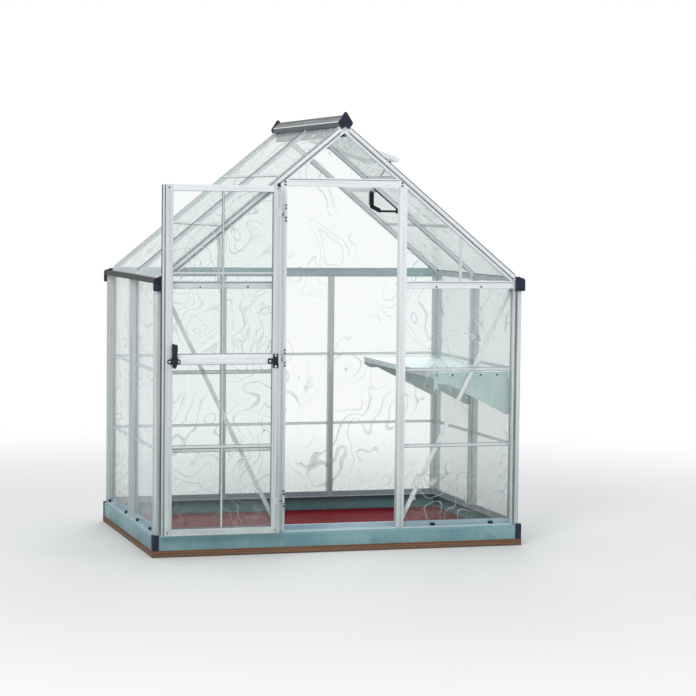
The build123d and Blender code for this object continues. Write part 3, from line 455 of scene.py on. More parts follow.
# Lit and shaded copies of one aluminium: each pair of tones paints the light or shade on its parts;
# the blue pair adds a painted blue-green cast.
SHADED_ALUMINIUM = rgb(0.68, 0.70, 0.715), rgb(0.46, 0.485, 0.515)
LIT_ALUMINIUM = rgb(0.85, 0.875, 0.895), rgb(0.64, 0.685, 0.73)
BLUE_SHADED_ALUMINIUM = rgb(0.46, 0.56, 0.58), rgb(0.33, 0.42, 0.44)
BRIGHTER_LIT_ALUMINIUM = rgb(0.93, 0.94, 0.94), rgb(0.76, 0.79, 0.81)
TEAL = rgb(0.235, 0.405, 0.430), rgb(0.125, 0.255, 0.295)
SILL_BLUE = rgb(0.40, 0.51, 0.57), rgb(0.235, 0.345, 0.405)
SILL_HIGHLIGHT = rgb(0.72, 0.80, 0.82)
MINT = rgb(0.68, 0.79, 0.77), rgb(0.50, 0.63, 0.61)
BLACK = rgb(0.008, 0.010, 0.020), rgb(0.020, 0.025, 0.045)
NAVY = rgb(0.011, 0.014, 0.034), rgb(0.036, 0.042, 0.084)


def up_the_bar(x, y, z):
    return z


def across_upright(x, y, z):
    return x + y


def across_level(x, y, z):
    return z + y


def along_level(x, y, z):
    return x + y * 1.3


def across_rafter(x, y, z):
    return (z + abs(x) * ROOF_SLOPE) * math.cos(ROOF_PITCH) + y


def along_rafter(x, y, z):
    return x


# Painted light and shade: jambs, rails, lintel, rafters and braces get the lit copies; posts, studs
# and stiles the shaded one; the rear beam the blue shaded one.
SHADED_UPRIGHT = material("shaded_upright", satin_aluminium(across_upright, up_the_bar, *SHADED_ALUMINIUM))
LIT_JAMB = material("lit_upright", satin_aluminium(across_upright, up_the_bar, *LIT_ALUMINIUM))
LIT_BRACE = material("lit_brace", satin_aluminium(across_upright, up_the_bar, *BRIGHTER_LIT_ALUMINIUM, 0.15))
LIT_LEVEL = material("lit_level", satin_aluminium(across_level, along_level, *LIT_ALUMINIUM))
SHADED_REAR_LEVEL = material("blue_shaded_level", satin_aluminium(across_level, along_level, *BLUE_SHADED_ALUMINIUM))
LIT_RAFTER = material("lit_rafter", satin_aluminium(across_rafter, along_rafter, *LIT_ALUMINIUM))
# Painted highlight bands: along the base's top, the sills' front edge and the shelf's top edge.
BASE_STEEL = material("base_steel_coat", coated_sheet(*TEAL, TEAL[0], 0.085, 0.101))
SILL_STEEL = material("sill_steel_coat", coated_sheet(*SILL_BLUE, SILL_HIGHLIGHT, 0.1085, 0.1060))
SHELF_STEEL = material("shelf_coat", coated_sheet(*MINT, MINT[0], 0.830, 0.851, 0.34))
GUTTER_COAT = material("gutter_coat", gutter_coat)
RIDGE_COAT = material("ridge_coat", ridge_coat)
BLACK_MOULDING = material("black_moulding", moulding(*BLACK))
NAVY_MOULDING = material("navy_moulding", moulding(*NAVY))
DARK_SCREW = material("dark_screw", dark_screw)
BLACK_RUBBER = material("black_rubber", black_rubber)
GREY_SEAL_AND_GROOVE_SHADE = material("grey_seal_and_groove_shade", grey_seal_and_groove_shade)
ZINC_BOLT = material("zinc_bolt", zinc_bolt)
CLEAR_FILM = material("clear_film", clear_film)
CLEAR_BAR = material("clear_bar", clear_bar)
FLOOR_BOARDS = material("floor_boards", floor_boards)
DECK_TIMBER = material("deck_timber", deck_timber)

NODE_FINISHES = {
    SHADED_UPRIGHT: (
        "front_corner_posts", "rear_corner_posts", "rear_studs", "side_studs", "door_stiles",
        "hinge_pins", "door_hinges",
    ),
    LIT_JAMB: ("door_jambs",),
    LIT_BRACE: ("wall_braces",),
    LIT_LEVEL: ("door_lintel", "front_eave_rails", "door_rails"),
    SHADED_REAR_LEVEL: ("rear_eave_beam",),
    LIT_RAFTER: ("front_rafters", "middle_rafters", "rear_rafters", "vent_sill", "vent_flap"),
    BASE_STEEL: ("base_front", "base_rear", "base_sides"),
    SILL_STEEL: ("sill_front", "sill_rear", "side_sills"),
    SHELF_STEEL: ("shelf_trays", "shelf_brackets"),
    GUTTER_COAT: ("gutters",),
    RIDGE_COAT: ("ridge_beam",),
    NAVY_MOULDING: ("base_corners", "eave_caps", "ridge_caps"),
    BLACK_MOULDING: ("sill_clips", "vent_opener", "door_handles"),
    CLEAR_FILM: (
        "front_panes", "rear_panes", "side_panes", "roof_panes", "door_panes", "vent_pane",
    ),
    CLEAR_BAR: ("wall_glazing_bars", "roof_glazing_bars", "door_centre_bars"),
    FLOOR_BOARDS: ("deck_boards",),
    DECK_TIMBER: ("deck_bearers",),
}
for finish_material, names in NODE_FINISHES.items():
    for name in names:
        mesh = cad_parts[name].data
        mesh.materials.clear()
        mesh.materials.append(finish_material)


def deselect_all():
    bpy.ops.object.select_all(action="DESELECT")


def settled(name):
    """Names the piece just added and puts its place into its mesh."""
    piece = bpy.context.object
    piece.name = name
    piece.data.name = name
    bpy.ops.object.transform_apply(location=True, rotation=True, scale=True)
    return piece


def block(name, low, high):
    """A squared block between two corners, ready to be shaped."""
    low, high = Vector(low), Vector(high)
    deselect_all()
    bpy.ops.mesh.primitive_cube_add(size=1, location=(low + high) / 2, scale=high - low)
    return settled(name)


def shaping(piece, wanted, kind="FACE"):
    """Opens a piece for editing with the faces or edges selected that a test accepts."""
    deselect_all()
    piece.select_set(True)
    bpy.context.view_layer.objects.active = piece
    bpy.ops.object.mode_set(mode="EDIT")
    bpy.ops.mesh.select_mode(type=kind)
    bpy.ops.mesh.select_all(action="DESELECT")
    shape = bmesh.from_edit_mesh(piece.data)
    for item in (shape.faces if kind == "FACE" else shape.edges):
        if wanted(item):
            item.select_set(True)
    bmesh.update_edit_mesh(piece.data)


def shaped():
    bpy.ops.object.mode_set(mode="OBJECT")


def extrude(move):
    bpy.ops.mesh.extrude_region_move(TRANSFORM_OT_translate={"value": move})


def modified(piece, kind, **settings):
    """Puts a modifier on a piece and applies it."""
    deselect_all()
    piece.select_set(True)
    bpy.context.view_layer.objects.active = piece
    modifier = piece.modifiers.new(kind.lower(), kind)
    for key, value in settings.items():
        setattr(modifier, key, value)
    bpy.ops.object.modifier_apply(modifier=modifier.name)


def softened(piece, width, segments=2):
    """Rounds a piece's sharp edges."""
    modified(piece, "BEVEL", width=width, segments=segments, limit_method="ANGLE")


def joined(name, pieces):
    """Joins pieces into the first and names it."""
    deselect_all()
    for piece in pieces:
        piece.select_set(True)
    bpy.context.view_layer.objects.active = pieces[0]
    if len(pieces) > 1:
        bpy.ops.object.join()
    pieces[0].name = name
    pieces[0].data.name = name
    return pieces[0]


def copied(piece, move):
    """A copy of a piece with its own mesh, put elsewhere by a matrix."""
    copy = piece.copy()
    copy.data = piece.data.copy()
    bpy.context.collection.objects.link(copy)
    copy.data.transform(move)
    return copy


def repeated(name, model, spots):
    """Copies a model, made on z = 0 facing up, to each spot and facing, and joins the copies."""
    copies = []
    for place, facing in spots:
        turn = Vector(facing).to_track_quat("Z", "Y").to_matrix().to_4x4()
        copies.append(copied(model, Matrix.Translation(place) @ turn))
    bpy.data.objects.remove(model)
    return joined(name, copies)


def fitted(piece, body, slot, coat, *nodes):
    """Gives a finished piece its coat and its body, and hides the nodes that it stands for; its
    slot is not used.
    """
    piece.data.materials.clear()
    piece.data.materials.append(coat)
    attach(piece, body)
    if nodes:
        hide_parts(*nodes)
    return piece


def sheet_boxes(node):
    """Lowest and highest corners of each separate sheet of a node."""
    piece = copied(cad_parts[node], Matrix())
    shaping(piece, lambda face: True)
    bpy.ops.mesh.remove_doubles(threshold=0.00001)
    bpy.ops.mesh.separate(type="LOOSE")
    shaped()
    boxes = []
    for sheet in list(bpy.context.selected_objects):
        corners = [vertex.co for vertex in sheet.data.vertices]
        boxes.append((Vector(map(min, zip(*corners))), Vector(map(max, zip(*corners)))))
        bpy.data.objects.remove(sheet)
    return sorted(boxes, key=lambda box: tuple(box[0]))


RIPPLE = bpy.data.textures.new("sheet_ripple", "CLOUDS")
RIPPLE.noise_scale = 0.17
RIPPLE.noise_depth = 1
GRID_STEP = 0.024
STILL_EDGE = 0.008
RIPPLE_FADE = 0.070
RIPPLE_LEVEL = 0.32
WALL_RIPPLE = 0.0085
ROOF_RIPPLE = 0.006


def rippled_sheet(middle, across, up, width, height, cuts, depth):
    """A thin sheet on a fine grid: cut to outline, rippled inside its edges, then thickened."""
    out = across.cross(up)
    turn = Matrix((across, up, out)).transposed()
    counts = [max(2, round(size / GRID_STEP)) for size in (width, height)]
    deselect_all()
    bpy.ops.mesh.primitive_grid_add(
        x_subdivisions=counts[0], y_subdivisions=counts[1], size=1,
        location=middle, rotation=turn.to_euler(),
    )
    bpy.context.object.scale = (width, height, 1)  # the grid operator ignores its own scale
    sheet = settled("sheet")
    for place, normal in cuts:
        shaping(sheet, lambda face: True)
        bpy.ops.mesh.bisect(plane_co=place, plane_no=normal, clear_outer=True)
        shaped()
    inner = sheet.vertex_groups.new(name="inner")
    for vertex in sheet.data.vertices:
        offset = vertex.co - middle
        inside = min(width / 2 - abs(offset.dot(across)), height / 2 - abs(offset.dot(up)))
        for place, normal in cuts:
            inside = min(inside, (Vector(place) - vertex.co).dot(Vector(normal)))
        share = min(max((inside - STILL_EDGE) / RIPPLE_FADE, 0.0), 1.0)
        inner.add([vertex.index], share * share * (3 - 2 * share), "REPLACE")
    modified(
        sheet, "DISPLACE", texture=RIPPLE, texture_coords="LOCAL", mid_level=RIPPLE_LEVEL,
        strength=depth, vertex_group="inner",
    )
    modified(sheet, "SOLIDIFY", thickness=SHEET_THICKNESS, offset=0)
    bpy.ops.object.shade_smooth_by_angle(angle=math.radians(40))
    return sheet


def flat_sheets(node, out, cuts_for=lambda low, high: ()):
    """Rippled sheets of the upright wall that faces along out."""
    out = Vector(out)
    up = Vector((0, 0, 1))
    across = up.cross(out)
    sheets = []
    for low, high in sheet_boxes(node):
        middle = (low + high) / 2
        if middle.dot(out) < 0:
            continue
        width = abs((high - low).dot(across))
        height = high.z - low.z
        cuts = cuts_for(low, high)
        sheets.append(rippled_sheet(middle, across, up, width, height, cuts, WALL_RIPPLE))
    return sheets


def roof_cuts(low, high):
    """Cuts along the rafters for a sheet that reaches into the gable."""
    cuts = []
    drop = FRONT_SHEET_DROP if low.y < 0 else REAR_SHEET_DROP
    for side in (-1, 1):
        corner = high.x if side > 0 else low.x
        top = ROOF_APEX - drop - abs(corner) * ROOF_SLOPE
        if high.z > top + 0.002 and corner * side > 0:
            place = Vector((0, 0, ROOF_APEX - drop))
            normal = Vector((side * math.sin(ROOF_PITCH), 0, math.cos(ROOF_PITCH)))
            cuts.append((place, normal))
    return cuts


def slope_sheet(low, high, pitch):
    """One rippled sheet of a roof slope, from the box that it fills."""
    side = 1 if low.x + high.x > 0 else -1
    down = Vector((side * math.cos(pitch), 0, -math.sin(pitch)))
    across = Vector((0, side, 0))
    length = (high.x - low.x - SHEET_THICKNESS * math.sin(pitch)) / math.cos(pitch)
    middle = (low + high) / 2
    return rippled_sheet(middle, down, across, length, high.y - low.y, (), ROOF_RIPPLE)


def clear_sheets():
    """Every clear sheet, rippled as thin sheets are, in place of the plain ones."""
    front = flat_sheets("front_panes", (0, -1, 0), roof_cuts)
    fitted(joined("front_sheets", front), "greenhouse", "clear_sheet", CLEAR_FILM, "front_panes")
    rear = flat_sheets("rear_panes", (0, 1, 0), roof_cuts)
    fitted(joined("rear_sheets", rear), "greenhouse", "clear_sheet", CLEAR_FILM, "rear_panes")
    sides = flat_sheets("side_panes", (1, 0, 0)) + flat_sheets("side_panes", (-1, 0, 0))
    fitted(joined("side_sheets", sides), "greenhouse", "clear_sheet", CLEAR_FILM, "side_panes")
    roof = [slope_sheet(low, high, ROOF_PITCH) for low, high in sheet_boxes("roof_panes")]
    fitted(joined("roof_sheets", roof), "greenhouse", "clear_sheet", CLEAR_FILM, "roof_panes")
    door = flat_sheets("door_panes", (0, -1, 0))
    fitted(joined("door_sheets", door), "door", "clear_sheet", CLEAR_FILM, "door_panes")
    vent = [slope_sheet(low, high, VENT_PITCH) for low, high in sheet_boxes("vent_pane")]
    fitted(joined("vent_sheet", vent), "greenhouse", "clear_sheet", CLEAR_FILM, "vent_pane")


clear_sheets()


def bolt_head(radius, height):
    """A domed bolt head with a recess on a thin washer, on z = 0 facing up."""
    deselect_all()
    bpy.ops.mesh.primitive_cylinder_add(
        vertices=16, radius=radius * 1.5, depth=0.001, location=(0, 0, 0.0005),
    )
    head = settled("bolt_model")
    shaping(head, lambda face: face.normal.z > 0.9)
    bpy.ops.mesh.inset(thickness=radius * 0.5)
    extrude((0, 0, height * 0.6))
    bpy.ops.mesh.inset(thickness=radius * 0.25)
    bpy.ops.transform.translate(value=(0, 0, height * 0.4))
    bpy.ops.mesh.inset(thickness=radius * 0.3)
    extrude((0, 0, -height * 0.5))
    shaped()
    return head


def facing_rows(x_places, y, z_places, facing):
    """Places in rows on an upright face, each with the way that it faces."""
    return [((x, y, z), facing) for x in x_places for z in z_places]


def both(spots):
    """Places on the right with their mirror images on the left."""
    return spots + [((-x, y, z), (-a, b, c)) for (x, y, z), (a, b, c) in spots]


TOWARD = (0, -1, 0)
AWAY = (0, 1, 0)
UP = (0, 0, 1)


def door_fittings():
    """Screws of the door's hinges, handles and corners, its rail bracket and its corner cap."""
    spots = []
    for level in (HINGE_LEVELS[0], HINGE_LEVELS[2]):
        levels = level - 0.011, level + 0.011
        spots += facing_rows((-0.345,), HINGE_LEAF_FACE, levels, TOWARD)
    plate = HANDLE_X - 0.022, HANDLE_X + 0.022
    spots += facing_rows(plate, HANDLE_FACES[0], (HANDLE_Z,), TOWARD)
    spots += facing_rows(plate, HANDLE_FACES[1], (HANDLE_Z,), AWAY)
    spots += facing_rows((-0.349,), BRACKET_FACE, (0.8995, 0.9515), TOWARD)
    spots += facing_rows((-0.376,), BRACKET_FACE, (HANDLE_Z,), TOWARD)
    bolts = repeated("door_bolts", bolt_head(0.0036, 0.0026), spots)
    fitted(bolts, "door", "frame_aluminium", ZINC_BOLT)

    edges, levels = (DOOR_FAR + 0.030, DOOR_NEAR - 0.020), (0.123, 1.7355)
    corners = facing_rows(edges, DOOR_FACES[0], levels, TOWARD)
    corners += facing_rows(edges, DOOR_FACES[1], levels, AWAY)
    screws = repeated("door_screws", bolt_head(0.0024, 0.0018), corners)
    fitted(screws, "door", "dark_metal", DARK_SCREW)

    bracket = block(
        "rail_bracket", (-0.362, BRACKET_FACE, 0.892), (-0.336, HINGE_LEAF_FACE, 0.959),
    )
    for level in (0.9125, 0.9385):
        shaping(bracket, lambda face: True)
        bpy.ops.mesh.bisect(plane_co=(0, 0, level), plane_no=(0, 0, 1))
        shaped()
    shaping(bracket, lambda face: (
        face.normal.x < -0.9 and abs(face.calc_center_median().z - HANDLE_Z) < 0.01
    ))
    extrude((-0.024, 0, 0))
    shaped()
    softened(bracket, 0.0012)
    lug = block("rail_bracket_lug", (-0.372, HINGE_LEAF_FACE, 0.914), (-0.364, -0.678, 0.937))
    softened(lug, 0.001)
    fitted(joined("rail_bracket", [bracket, lug]), "door", "black_plastic", BLACK_MOULDING)

    edge = DOOR_NEAR - 0.020
    corner = block("door_corners", (edge, -0.6815, 1.7440), (edge + 0.014, -0.660, 1.7560))
    shaping(corner, lambda face: face.normal.z > 0.9)
    bpy.ops.mesh.inset(thickness=0.0025)
    extrude((0, 0, 0.006))
    shaped()
    softened(corner, 0.0010)
    fitted(corner, "door", "black_plastic", BLACK_MOULDING)


def frame_fittings():
    """Screws and bolts of the jamb hinges, the frame's joints, the shelf and the deck."""
    dark = []
    for level in HINGE_LEVELS:
        offsets = (-0.037, -0.022, 0.022, 0.037)
        levels = [level + offset for offset in offsets]
        dark += facing_rows((-JAMB_INNER - 0.0055,), -FRAME_Y, levels, TOWARD)
    dark += both(facing_rows((JAMB_INNER + 0.009,), -FRAME_Y, (1.7560, 1.7700), TOWARD))
    dark += both(facing_rows((0.470, 0.700), -FRAME_Y, (1.272,), TOWARD))
    dots = (0.495, 0.575, 0.655, 0.720, 0.805)
    dark += facing_rows(dots, SHELF_FACE, (SHELF_LEVEL,), TOWARD)
    dark += facing_rows((0.489,), SHELF_TAB_FACE, (0.7640,), TOWARD)
    dark_screws = repeated("frame_screws", bolt_head(0.0032, 0.0020), dark)
    fitted(dark_screws, "greenhouse", "dark_metal", DARK_SCREW)

    brace_ends = (0.330, BRACE_FACE, 0.150), (0.856, BRACE_FACE, 1.250)
    bright = both([(place, TOWARD) for place in brace_ends])
    for y in (-0.420, -0.290, -0.160, 0.160, 0.290, 0.420):
        bright.append(((SHELF_ENDS[0] - 0.003, y, SHELF_LEVEL), (-1, 0, 0)))
    for y, facing in ((-FRAME_Y, TOWARD), (FRAME_Y, AWAY)):
        bright += both(facing_rows((0.884, 0.902), y, (GUTTER_FLOOR - 0.020,), facing))
    bracket_faces = -0.574, -0.0015
    for level in (0.700, 0.790):
        bright += [((0.855, y, level), TOWARD) for y in bracket_faces]
    bolts = repeated("frame_bolts", bolt_head(0.0030, 0.0022), bright)
    fitted(bolts, "greenhouse", "frame_aluminium", ZINC_BOLT)

    boards = []
    for index in range(BOARD_COUNT):
        middle = BOARD_START + BOARD_HALF + index * BOARD_PITCH
        for x in BEARER_LINES:
            boards += [((x, middle + offset, DECK_TOP), UP) for offset in (-0.038, 0.038)]
    deck_screws = repeated("deck_screws", bolt_head(0.0030, 0.0010), boards)
    fitted(deck_screws, "greenhouse", "dark_metal", DARK_SCREW)


door_fittings()
frame_fittings()


def strip(name, start, end, width, thickness, out, lip=0.0006):
    """A strip between two points, thin along out, with a narrower ridge drawn from its face."""
    start, end, out = Vector(start), Vector(end), Vector(out).normalized()
    run = (end - start).normalized()
    turn = Matrix((run, out.cross(run), out)).transposed()
    deselect_all()
    bpy.ops.mesh.primitive_cube_add(
        size=1, location=(start + end) / 2, rotation=turn.to_euler(),
        scale=((end - start).length, width, thickness),
    )
    piece = settled(name)
    shaping(piece, lambda face: face.normal.dot(out) > 0.9)
    bpy.ops.mesh.inset(thickness=width * 0.22)
    extrude(out * lip)
    shaped()
    return piece


def groove_shade_strips():
    """Grey strips in the channels of the frame, under the rafters' edges and along the door's free
    edge: painted shade of the grooves and edge lines.
    """
    strips = []
    for side in (-1, 1):
        for face in (-1, 1):
            y = face * (FRAME_Y - 0.0035)
            out = (0, face, 0)
            for x in (0.8790, 0.8868):
                foot, head = [(side * x, y, level) for level in POST_SHADE_STRIP]
                strips.append(strip("shade_strip", foot, head, 0.0022, 0.0040, out))
            drop = FRONT_SHADE_STRIP_DROP if face < 0 else REAR_SHADE_STRIP_DROP
            drop /= math.cos(ROOF_PITCH)
            for extra in (-0.0035, 0.0035):
                top = (side * 0.020, y, roof_height(0.020) - drop + extra)
                foot = (side * 0.868, y, roof_height(0.868) - drop + extra)
                strips.append(strip("shade_strip", top, foot, 0.0022, 0.0030, out))
        level = EAVE_RAIL[1] - 0.0078
        ends = [(side * x, EAVE_FACE, level) for x in (0.318, 0.866)]
        strips.append(strip("shade_strip", *ends, 0.0026, 0.0022, TOWARD))
        foot, head = [(side * (FRAME_X - 0.0025), 0, level) for level in POST_SHADE_STRIP]
        strips.append(strip("shade_strip", foot, head, 0.0036, 0.0030, (side, 0, 0)))
        under = (-side * math.sin(ROOF_PITCH), 0, -math.cos(ROOF_PITCH))
        for y in (-0.0100, 0.0100, *REAR_RAFTER_EDGES):
            ends = [Vector((side * x, y, roof_height(x) - 0.0263)) for x in (0.060, 0.845)]
            strips.append(strip("shade_strip", *ends, 0.0030, 0.0012, under, 0.0004))
    ends = [(x, EAVE_FACE, LINTEL[1] - 0.0078) for x in (-0.279, 0.279)]
    strips.append(strip("shade_strip", *ends, 0.0026, 0.0022, TOWARD))
    fitted(joined("frame_groove_shades", strips), "greenhouse", "dark_metal", GREY_SEAL_AND_GROOVE_SHADE)

    strips = []
    levels = DOOR_LEVELS[0] + 0.003, DOOR_LEVELS[1] - 0.003
    for y, out in ((DOOR_FACES[0] + 0.0018, TOWARD), (DOOR_FACES[1] - 0.0018, AWAY)):
        foot, head = [(DOOR_FAR + 0.012, y, level) for level in levels]
        strips.append(strip("shade_strip", foot, head, 0.0030, 0.0022, out))
    fitted(joined("door_edge_shades", strips), "door", "dark_metal", GREY_SEAL_AND_GROOVE_SHADE)


def rafter_seals():
    """Black sealing strips along the gable rafters and over the roof's rafters."""
    strips = []
    for y, out in ((-FRAME_Y - 0.0010, TOWARD), (FRAME_Y + 0.0010, AWAY)):
        for side in (-1, 1):
            ends = [(side * x, y, roof_height(x) - 0.0030) for x in (0.034, 0.872)]
            strips.append(strip("rafter_seal", *ends, 0.0030, 0.0020, out))
    for side in (-1, 1):
        out = (side * math.sin(ROOF_PITCH), 0, math.cos(ROOF_PITCH))
        for y in (-0.596, -0.004, 0.004, 0.596):
            start, end = 0.030, 0.876
            if side > 0 and y > 0:
                start = 0.036 if y > 0.5 else 0.380
            ends = [(side * x, y, roof_height(x) + 0.0004) for x in (start, end)]
            strips.append(strip("roof_seal", *ends, 0.0032, 0.0016, out))
    fitted(joined("rafter_seals", strips), "greenhouse", "black_plastic", BLACK_RUBBER)


def opener_sleeves():
    """The slide, arm, lever and rod covers of the vent's opener."""
    down = (-math.sin(ROOF_PITCH), 0, -math.cos(ROOF_PITCH))
    start, end = [Vector((x, 0.004, roof_height(x) - 0.0268)) for x in (0.345, 0.470)]
    sleeves = [strip("opener_slide", start, end, 0.0100, 0.0034, down, 0.0020)]
    arm = (0.3632, 0.115, 1.729), (0.3632, 0.115, 1.664)
    sleeves.append(strip("opener_sleeve", *arm, 0.021, 0.021, TOWARD, 0.0015))
    lever = (0.3650, 0.115, 1.6557), (0.4080, 0.115, 1.6342)
    sleeves.append(strip("opener_sleeve", *lever, 0.019, 0.019, (0.447, 0, 0.894), 0.0015))
    rod = (0.4150, 0.1124, 1.6316), (0.4740, 0.0262, 1.6316)
    sleeves.append(strip("opener_sleeve", *rod, 0.011, 0.010, UP, 0.0010))
    for sleeve in sleeves:
        softened(sleeve, 0.0004)
    fitted(joined("opener_sleeves", sleeves), "greenhouse", "black_plastic", BLACK_MOULDING)


def door_seals():
    """Black sealing strips along the door's two upright edges."""
    y = (DOOR_FACES[0] + DOOR_FACES[1]) / 2
    low, high = DOOR_LEVELS[0] + 0.002, DOOR_LEVELS[1] - 0.002
    strips = []
    for x, outward in ((DOOR_FAR - 0.0008, -1), (DOOR_NEAR + 0.0008, 1)):
        edge = block("door_seal", (x - 0.0009, y - 0.004, low), (x + 0.0009, y + 0.004, high))
        shaping(edge, lambda face: face.normal.y < -0.9)
        extrude((outward * 0.0004, -0.003, 0))
        shaped()
        softened(edge, 0.0004, 1)
        strips.append(edge)
    fitted(joined("door_seals", strips), "door", "black_plastic", BLACK_RUBBER)


def ridge_bands():
    """Bright narrow bands along both flanks of the ridge's crest."""
    rise = Vector((CROWN_HALF - CREST_HALF, 0, CREST_RISE)).normalized()
    bands = []
    for side in (-1, 1):
        out = Vector((side * rise.z, 0, -rise.x))
        middle = Vector((side * (CREST_HALF - 0.0019), 0, ROOF_APEX + 0.0025)) + out * 0.0004
        start, end = middle + Vector((0, -0.612, 0)), middle + Vector((0, 0.612, 0))
        bands.append(strip("ridge_band", start, end, 0.0055, 0.0012, out, 0.0004))
    fitted(joined("ridge_bands", bands), "greenhouse", "frame_aluminium", LIT_LEVEL)


def shelf_trim():
    """Folded edge along the front of the shelf, pale from the shelf's painted highlight band, and
    the tab at the tip of its bracket.
    """
    ends = [(x, SHELF_FACE + 0.0007, SHELF_LEVEL) for x in SHELF_ENDS]
    edge = strip("shelf_edge", *ends, 0.0190, 0.0014, TOWARD, 0.0004)
    shaping(edge, lambda face: face.normal.z > 0.9)
    extrude((0, 0, 0.0012))
    shaped()
    tab = block("shelf_tab", (0.4780, SHELF_TAB_FACE, 0.7560), (0.5000, -0.5730, 0.8180))
    shaping(tab, lambda side: (
        abs(side.verts[0].co.y - side.verts[1].co.y) > 0.001 and side.verts[0].co.z < 0.757
    ), "EDGE")
    bpy.ops.mesh.bevel(offset=0.0095, segments=6, affect="EDGES")
    shaped()
    softened(tab, 0.0004, 1)
    fitted(joined("shelf_trim", [edge, tab]), "greenhouse", "shelf_steel", SHELF_STEEL)


def sill_wedges():
    """Black clips on the outer edge of the sills' ledges: wedges with sloping sides."""
    wedges = []
    for low, high in sheet_boxes("sill_clips"):
        middle = (low + high) / 2
        if abs(middle.x) > POST_X:
            out, along = Vector((math.copysign(1, middle.x), 0, 0)), Vector((0, 1, 0))
        else:
            out, along = Vector((0, math.copysign(1, middle.y), 0)), Vector((1, 0, 0))
            middle.x += math.copysign(0.020, middle.x)
        middle += out * 0.007
        half = along * CLIP_HALF + Vector(map(abs, out)) * (CLIP_DEPTH / 2)
        near, far = (middle - half).xy, (middle + half).xy
        wedge = block("sill_wedge", (*near, CLIP_LEVELS[0]), (*far, CLIP_LEVELS[1]))
        shaping(wedge, lambda face: face.normal.z > 0.9)
        bpy.ops.transform.resize(value=Vector((1, 1, 1)) - along * 0.36)
        shaped()
        shaping(wedge, lambda edge: all(
            corner.co.z < 0.110 and corner.co.dot(out) < middle.dot(out) for corner in edge.verts
        ), "EDGE")
        bpy.ops.transform.translate(value=(0, 0, CLIP_RISE))
        shaped()
        softened(wedge, 0.0008)
        wedges.append(wedge)
    clips = joined("sill_wedges", wedges)
    fitted(clips, "greenhouse", "black_plastic", BLACK_MOULDING, "sill_clips")


groove_shade_strips()
rafter_seals()
opener_sleeves()
door_seals()
ridge_bands()
shelf_trim()
sill_wedges()


def gasket(low, high, y, width, thickness):
    """A thin rubber frame round a sheet, on the plane y."""
    deselect_all()
    middle = ((low[0] + high[0]) / 2, y, (low[1] + high[1]) / 2)
    bpy.ops.mesh.primitive_plane_add(size=1, location=middle, rotation=(math.pi / 2, 0, 0))
    bpy.context.object.scale = (high[0] - low[0], high[1] - low[1], 1)
    piece = settled("gasket")
    shaping(piece, lambda face: True)
    bpy.ops.mesh.inset(thickness=width)
    bpy.ops.mesh.delete(type="FACE")
    shaped()
    modified(piece, "SOLIDIFY", thickness=thickness, offset=0)
    return piece


def gaskets():
    """Thin frames round the door's sheets and those of the front bays."""
    frames = []
    bar = DOOR_MIDDLE - DOOR_BAR / 2, DOOR_MIDDLE + DOOR_BAR / 2
    halves = (DOOR_CLEAR[0], bar[0]), (bar[1], DOOR_CLEAR[1])
    sheet_y = (DOOR_FACES[0] + DOOR_FACES[1]) / 2
    for (_, bottom), (top, _) in zip(DOOR_RAILS, DOOR_RAILS[1:]):
        for left, right in halves:
            for y in (sheet_y - 0.0026, sheet_y + 0.0026):
                corners = (left, bottom), (right, top)
                frames.append(gasket(*corners, y, width=0.0016, thickness=0.0012))
    fitted(joined("door_gaskets", frames), "door", "dark_metal", GREY_SEAL_AND_GROOVE_SHADE)

    frames = []
    for left, right in ((JAMB_OUTER, POST_X), (-POST_X, -JAMB_OUTER)):
        for bottom, top in BAY_SHEETS:
            corners = (left, bottom), (right, top)
            frames.append(gasket(*corners, BAY_GASKET, width=0.0018, thickness=0.0014))
    fitted(joined("bay_gaskets", frames), "greenhouse", "dark_metal", GREY_SEAL_AND_GROOVE_SHADE)


gaskets()


def seen_rays(finish):
    """1 for what the camera sees, straight, mirrored or through glass, and 0 for lighting."""
    path = finish.node("LightPath")
    kinds = ("Is Camera Ray", "Is Glossy Ray", "Is Transmission Ray")
    camera, glossy, through = [Tone(finish, path.socket.node.outputs[kind]) for kind in kinds]
    return (camera + glossy + through).limited()


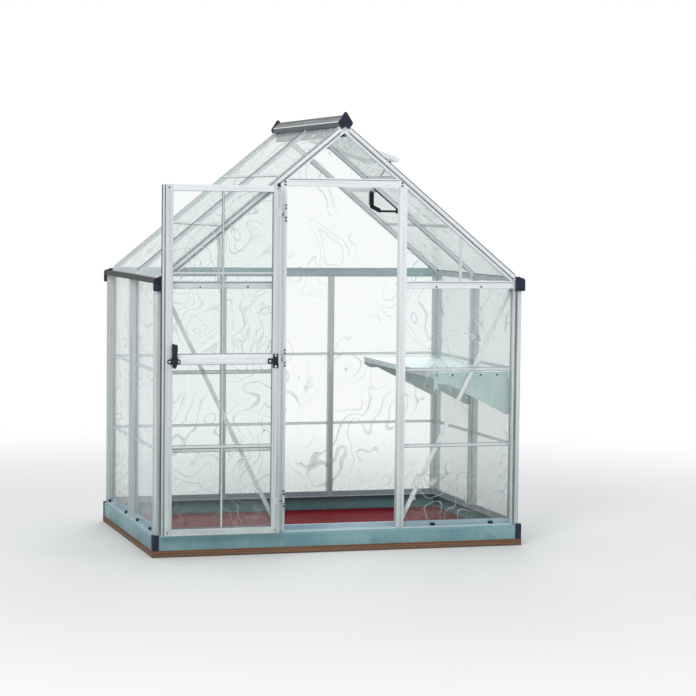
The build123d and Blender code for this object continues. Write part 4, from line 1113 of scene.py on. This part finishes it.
def pale_floor(finish):
    """Pale floor that keeps the shadow near the object and turns plain white further out."""
    x, y, z = finish.axes()
    squared = x * x + y * y
    reach = squared.worked("SQRT", squared)
    cloud = finish.noise(30.0, detail=3.0)
    plain = finish.shiny(finish.blend(rgb(0.80, 0.80, 0.79), rgb(0.84, 0.84, 0.83), cloud), 0.85)
    white = finish.node("Emission", {}, {"Color": rgb(1, 1, 1), "Strength": 1.0})
    share = reach.ramp(1.9, 5.5) * seen_rays(finish)
    return finish.node("MixShader", {}, {0: share, 1: plain, 2: white})


def studio():
    """Soft lamps, white surroundings, a pale floor and the camera at the photograph's angle."""
    scene = bpy.context.scene
    scene.view_settings.view_transform = "Standard"
    scene.cycles.transparent_max_bounces = 32

    world = bpy.data.worlds.new("surroundings")
    world.use_nodes = True
    scene.world = world
    room = Finish(world.node_tree)
    lit = room.node("Background", {}, {"Color": rgb(0.94, 0.965, 1.0), "Strength": 0.50})
    white = room.node("Background", {}, {"Color": rgb(1, 1, 1), "Strength": 1.0})
    sky = room.node("MixShader", {}, {0: seen_rays(room), 1: lit, 2: white})
    room.node("OutputWorld", {}, {"Surface": sky})

    deselect_all()
    bpy.ops.mesh.primitive_circle_add(vertices=96, radius=60, fill_type="NGON", location=(0, 0, 0))
    floor = settled("studio_floor")
    floor.data.materials.append(material("pale_floor", pale_floor))

    lamps = (
        ("key_lamp", (-5.5, -8.0, 6.5), 3.5, 430),
        ("side_lamp", (7.5, -4.5, 4.0), 3.5, 110),
        ("top_lamp", (0.0, 1.0, 7.5), 4.0, 130),
        ("rear_lamp", (3.0, 8.0, 5.0), 3.5, 150),
    )
    for name, place, size, power in lamps:
        data = bpy.data.lights.new(name, "AREA")
        data.size = size
        data.energy = power
        lamp = bpy.data.objects.new(name, data)
        scene.collection.objects.link(lamp)
        lamp.location = place
        aim = Vector((0, 0, 0.9)) - Vector(place)
        lamp.rotation_euler = aim.to_track_quat("-Z", "Y").to_euler()

    data = bpy.data.cameras.new("camera")
    data.lens = 116.4
    data.sensor_width = 36
    camera = bpy.data.objects.new("camera", data)
    scene.collection.objects.link(camera)
    heading = Euler((math.radians(90 - 3.68), 0, math.radians(-16.73))).to_matrix()
    level = heading @ Matrix.Rotation(math.radians(0.63), 3, "Z")
    camera.location = (-3.069, -10.916, 1.671)
    camera.rotation_euler = level.to_euler()
    scene.camera = camera


studio()
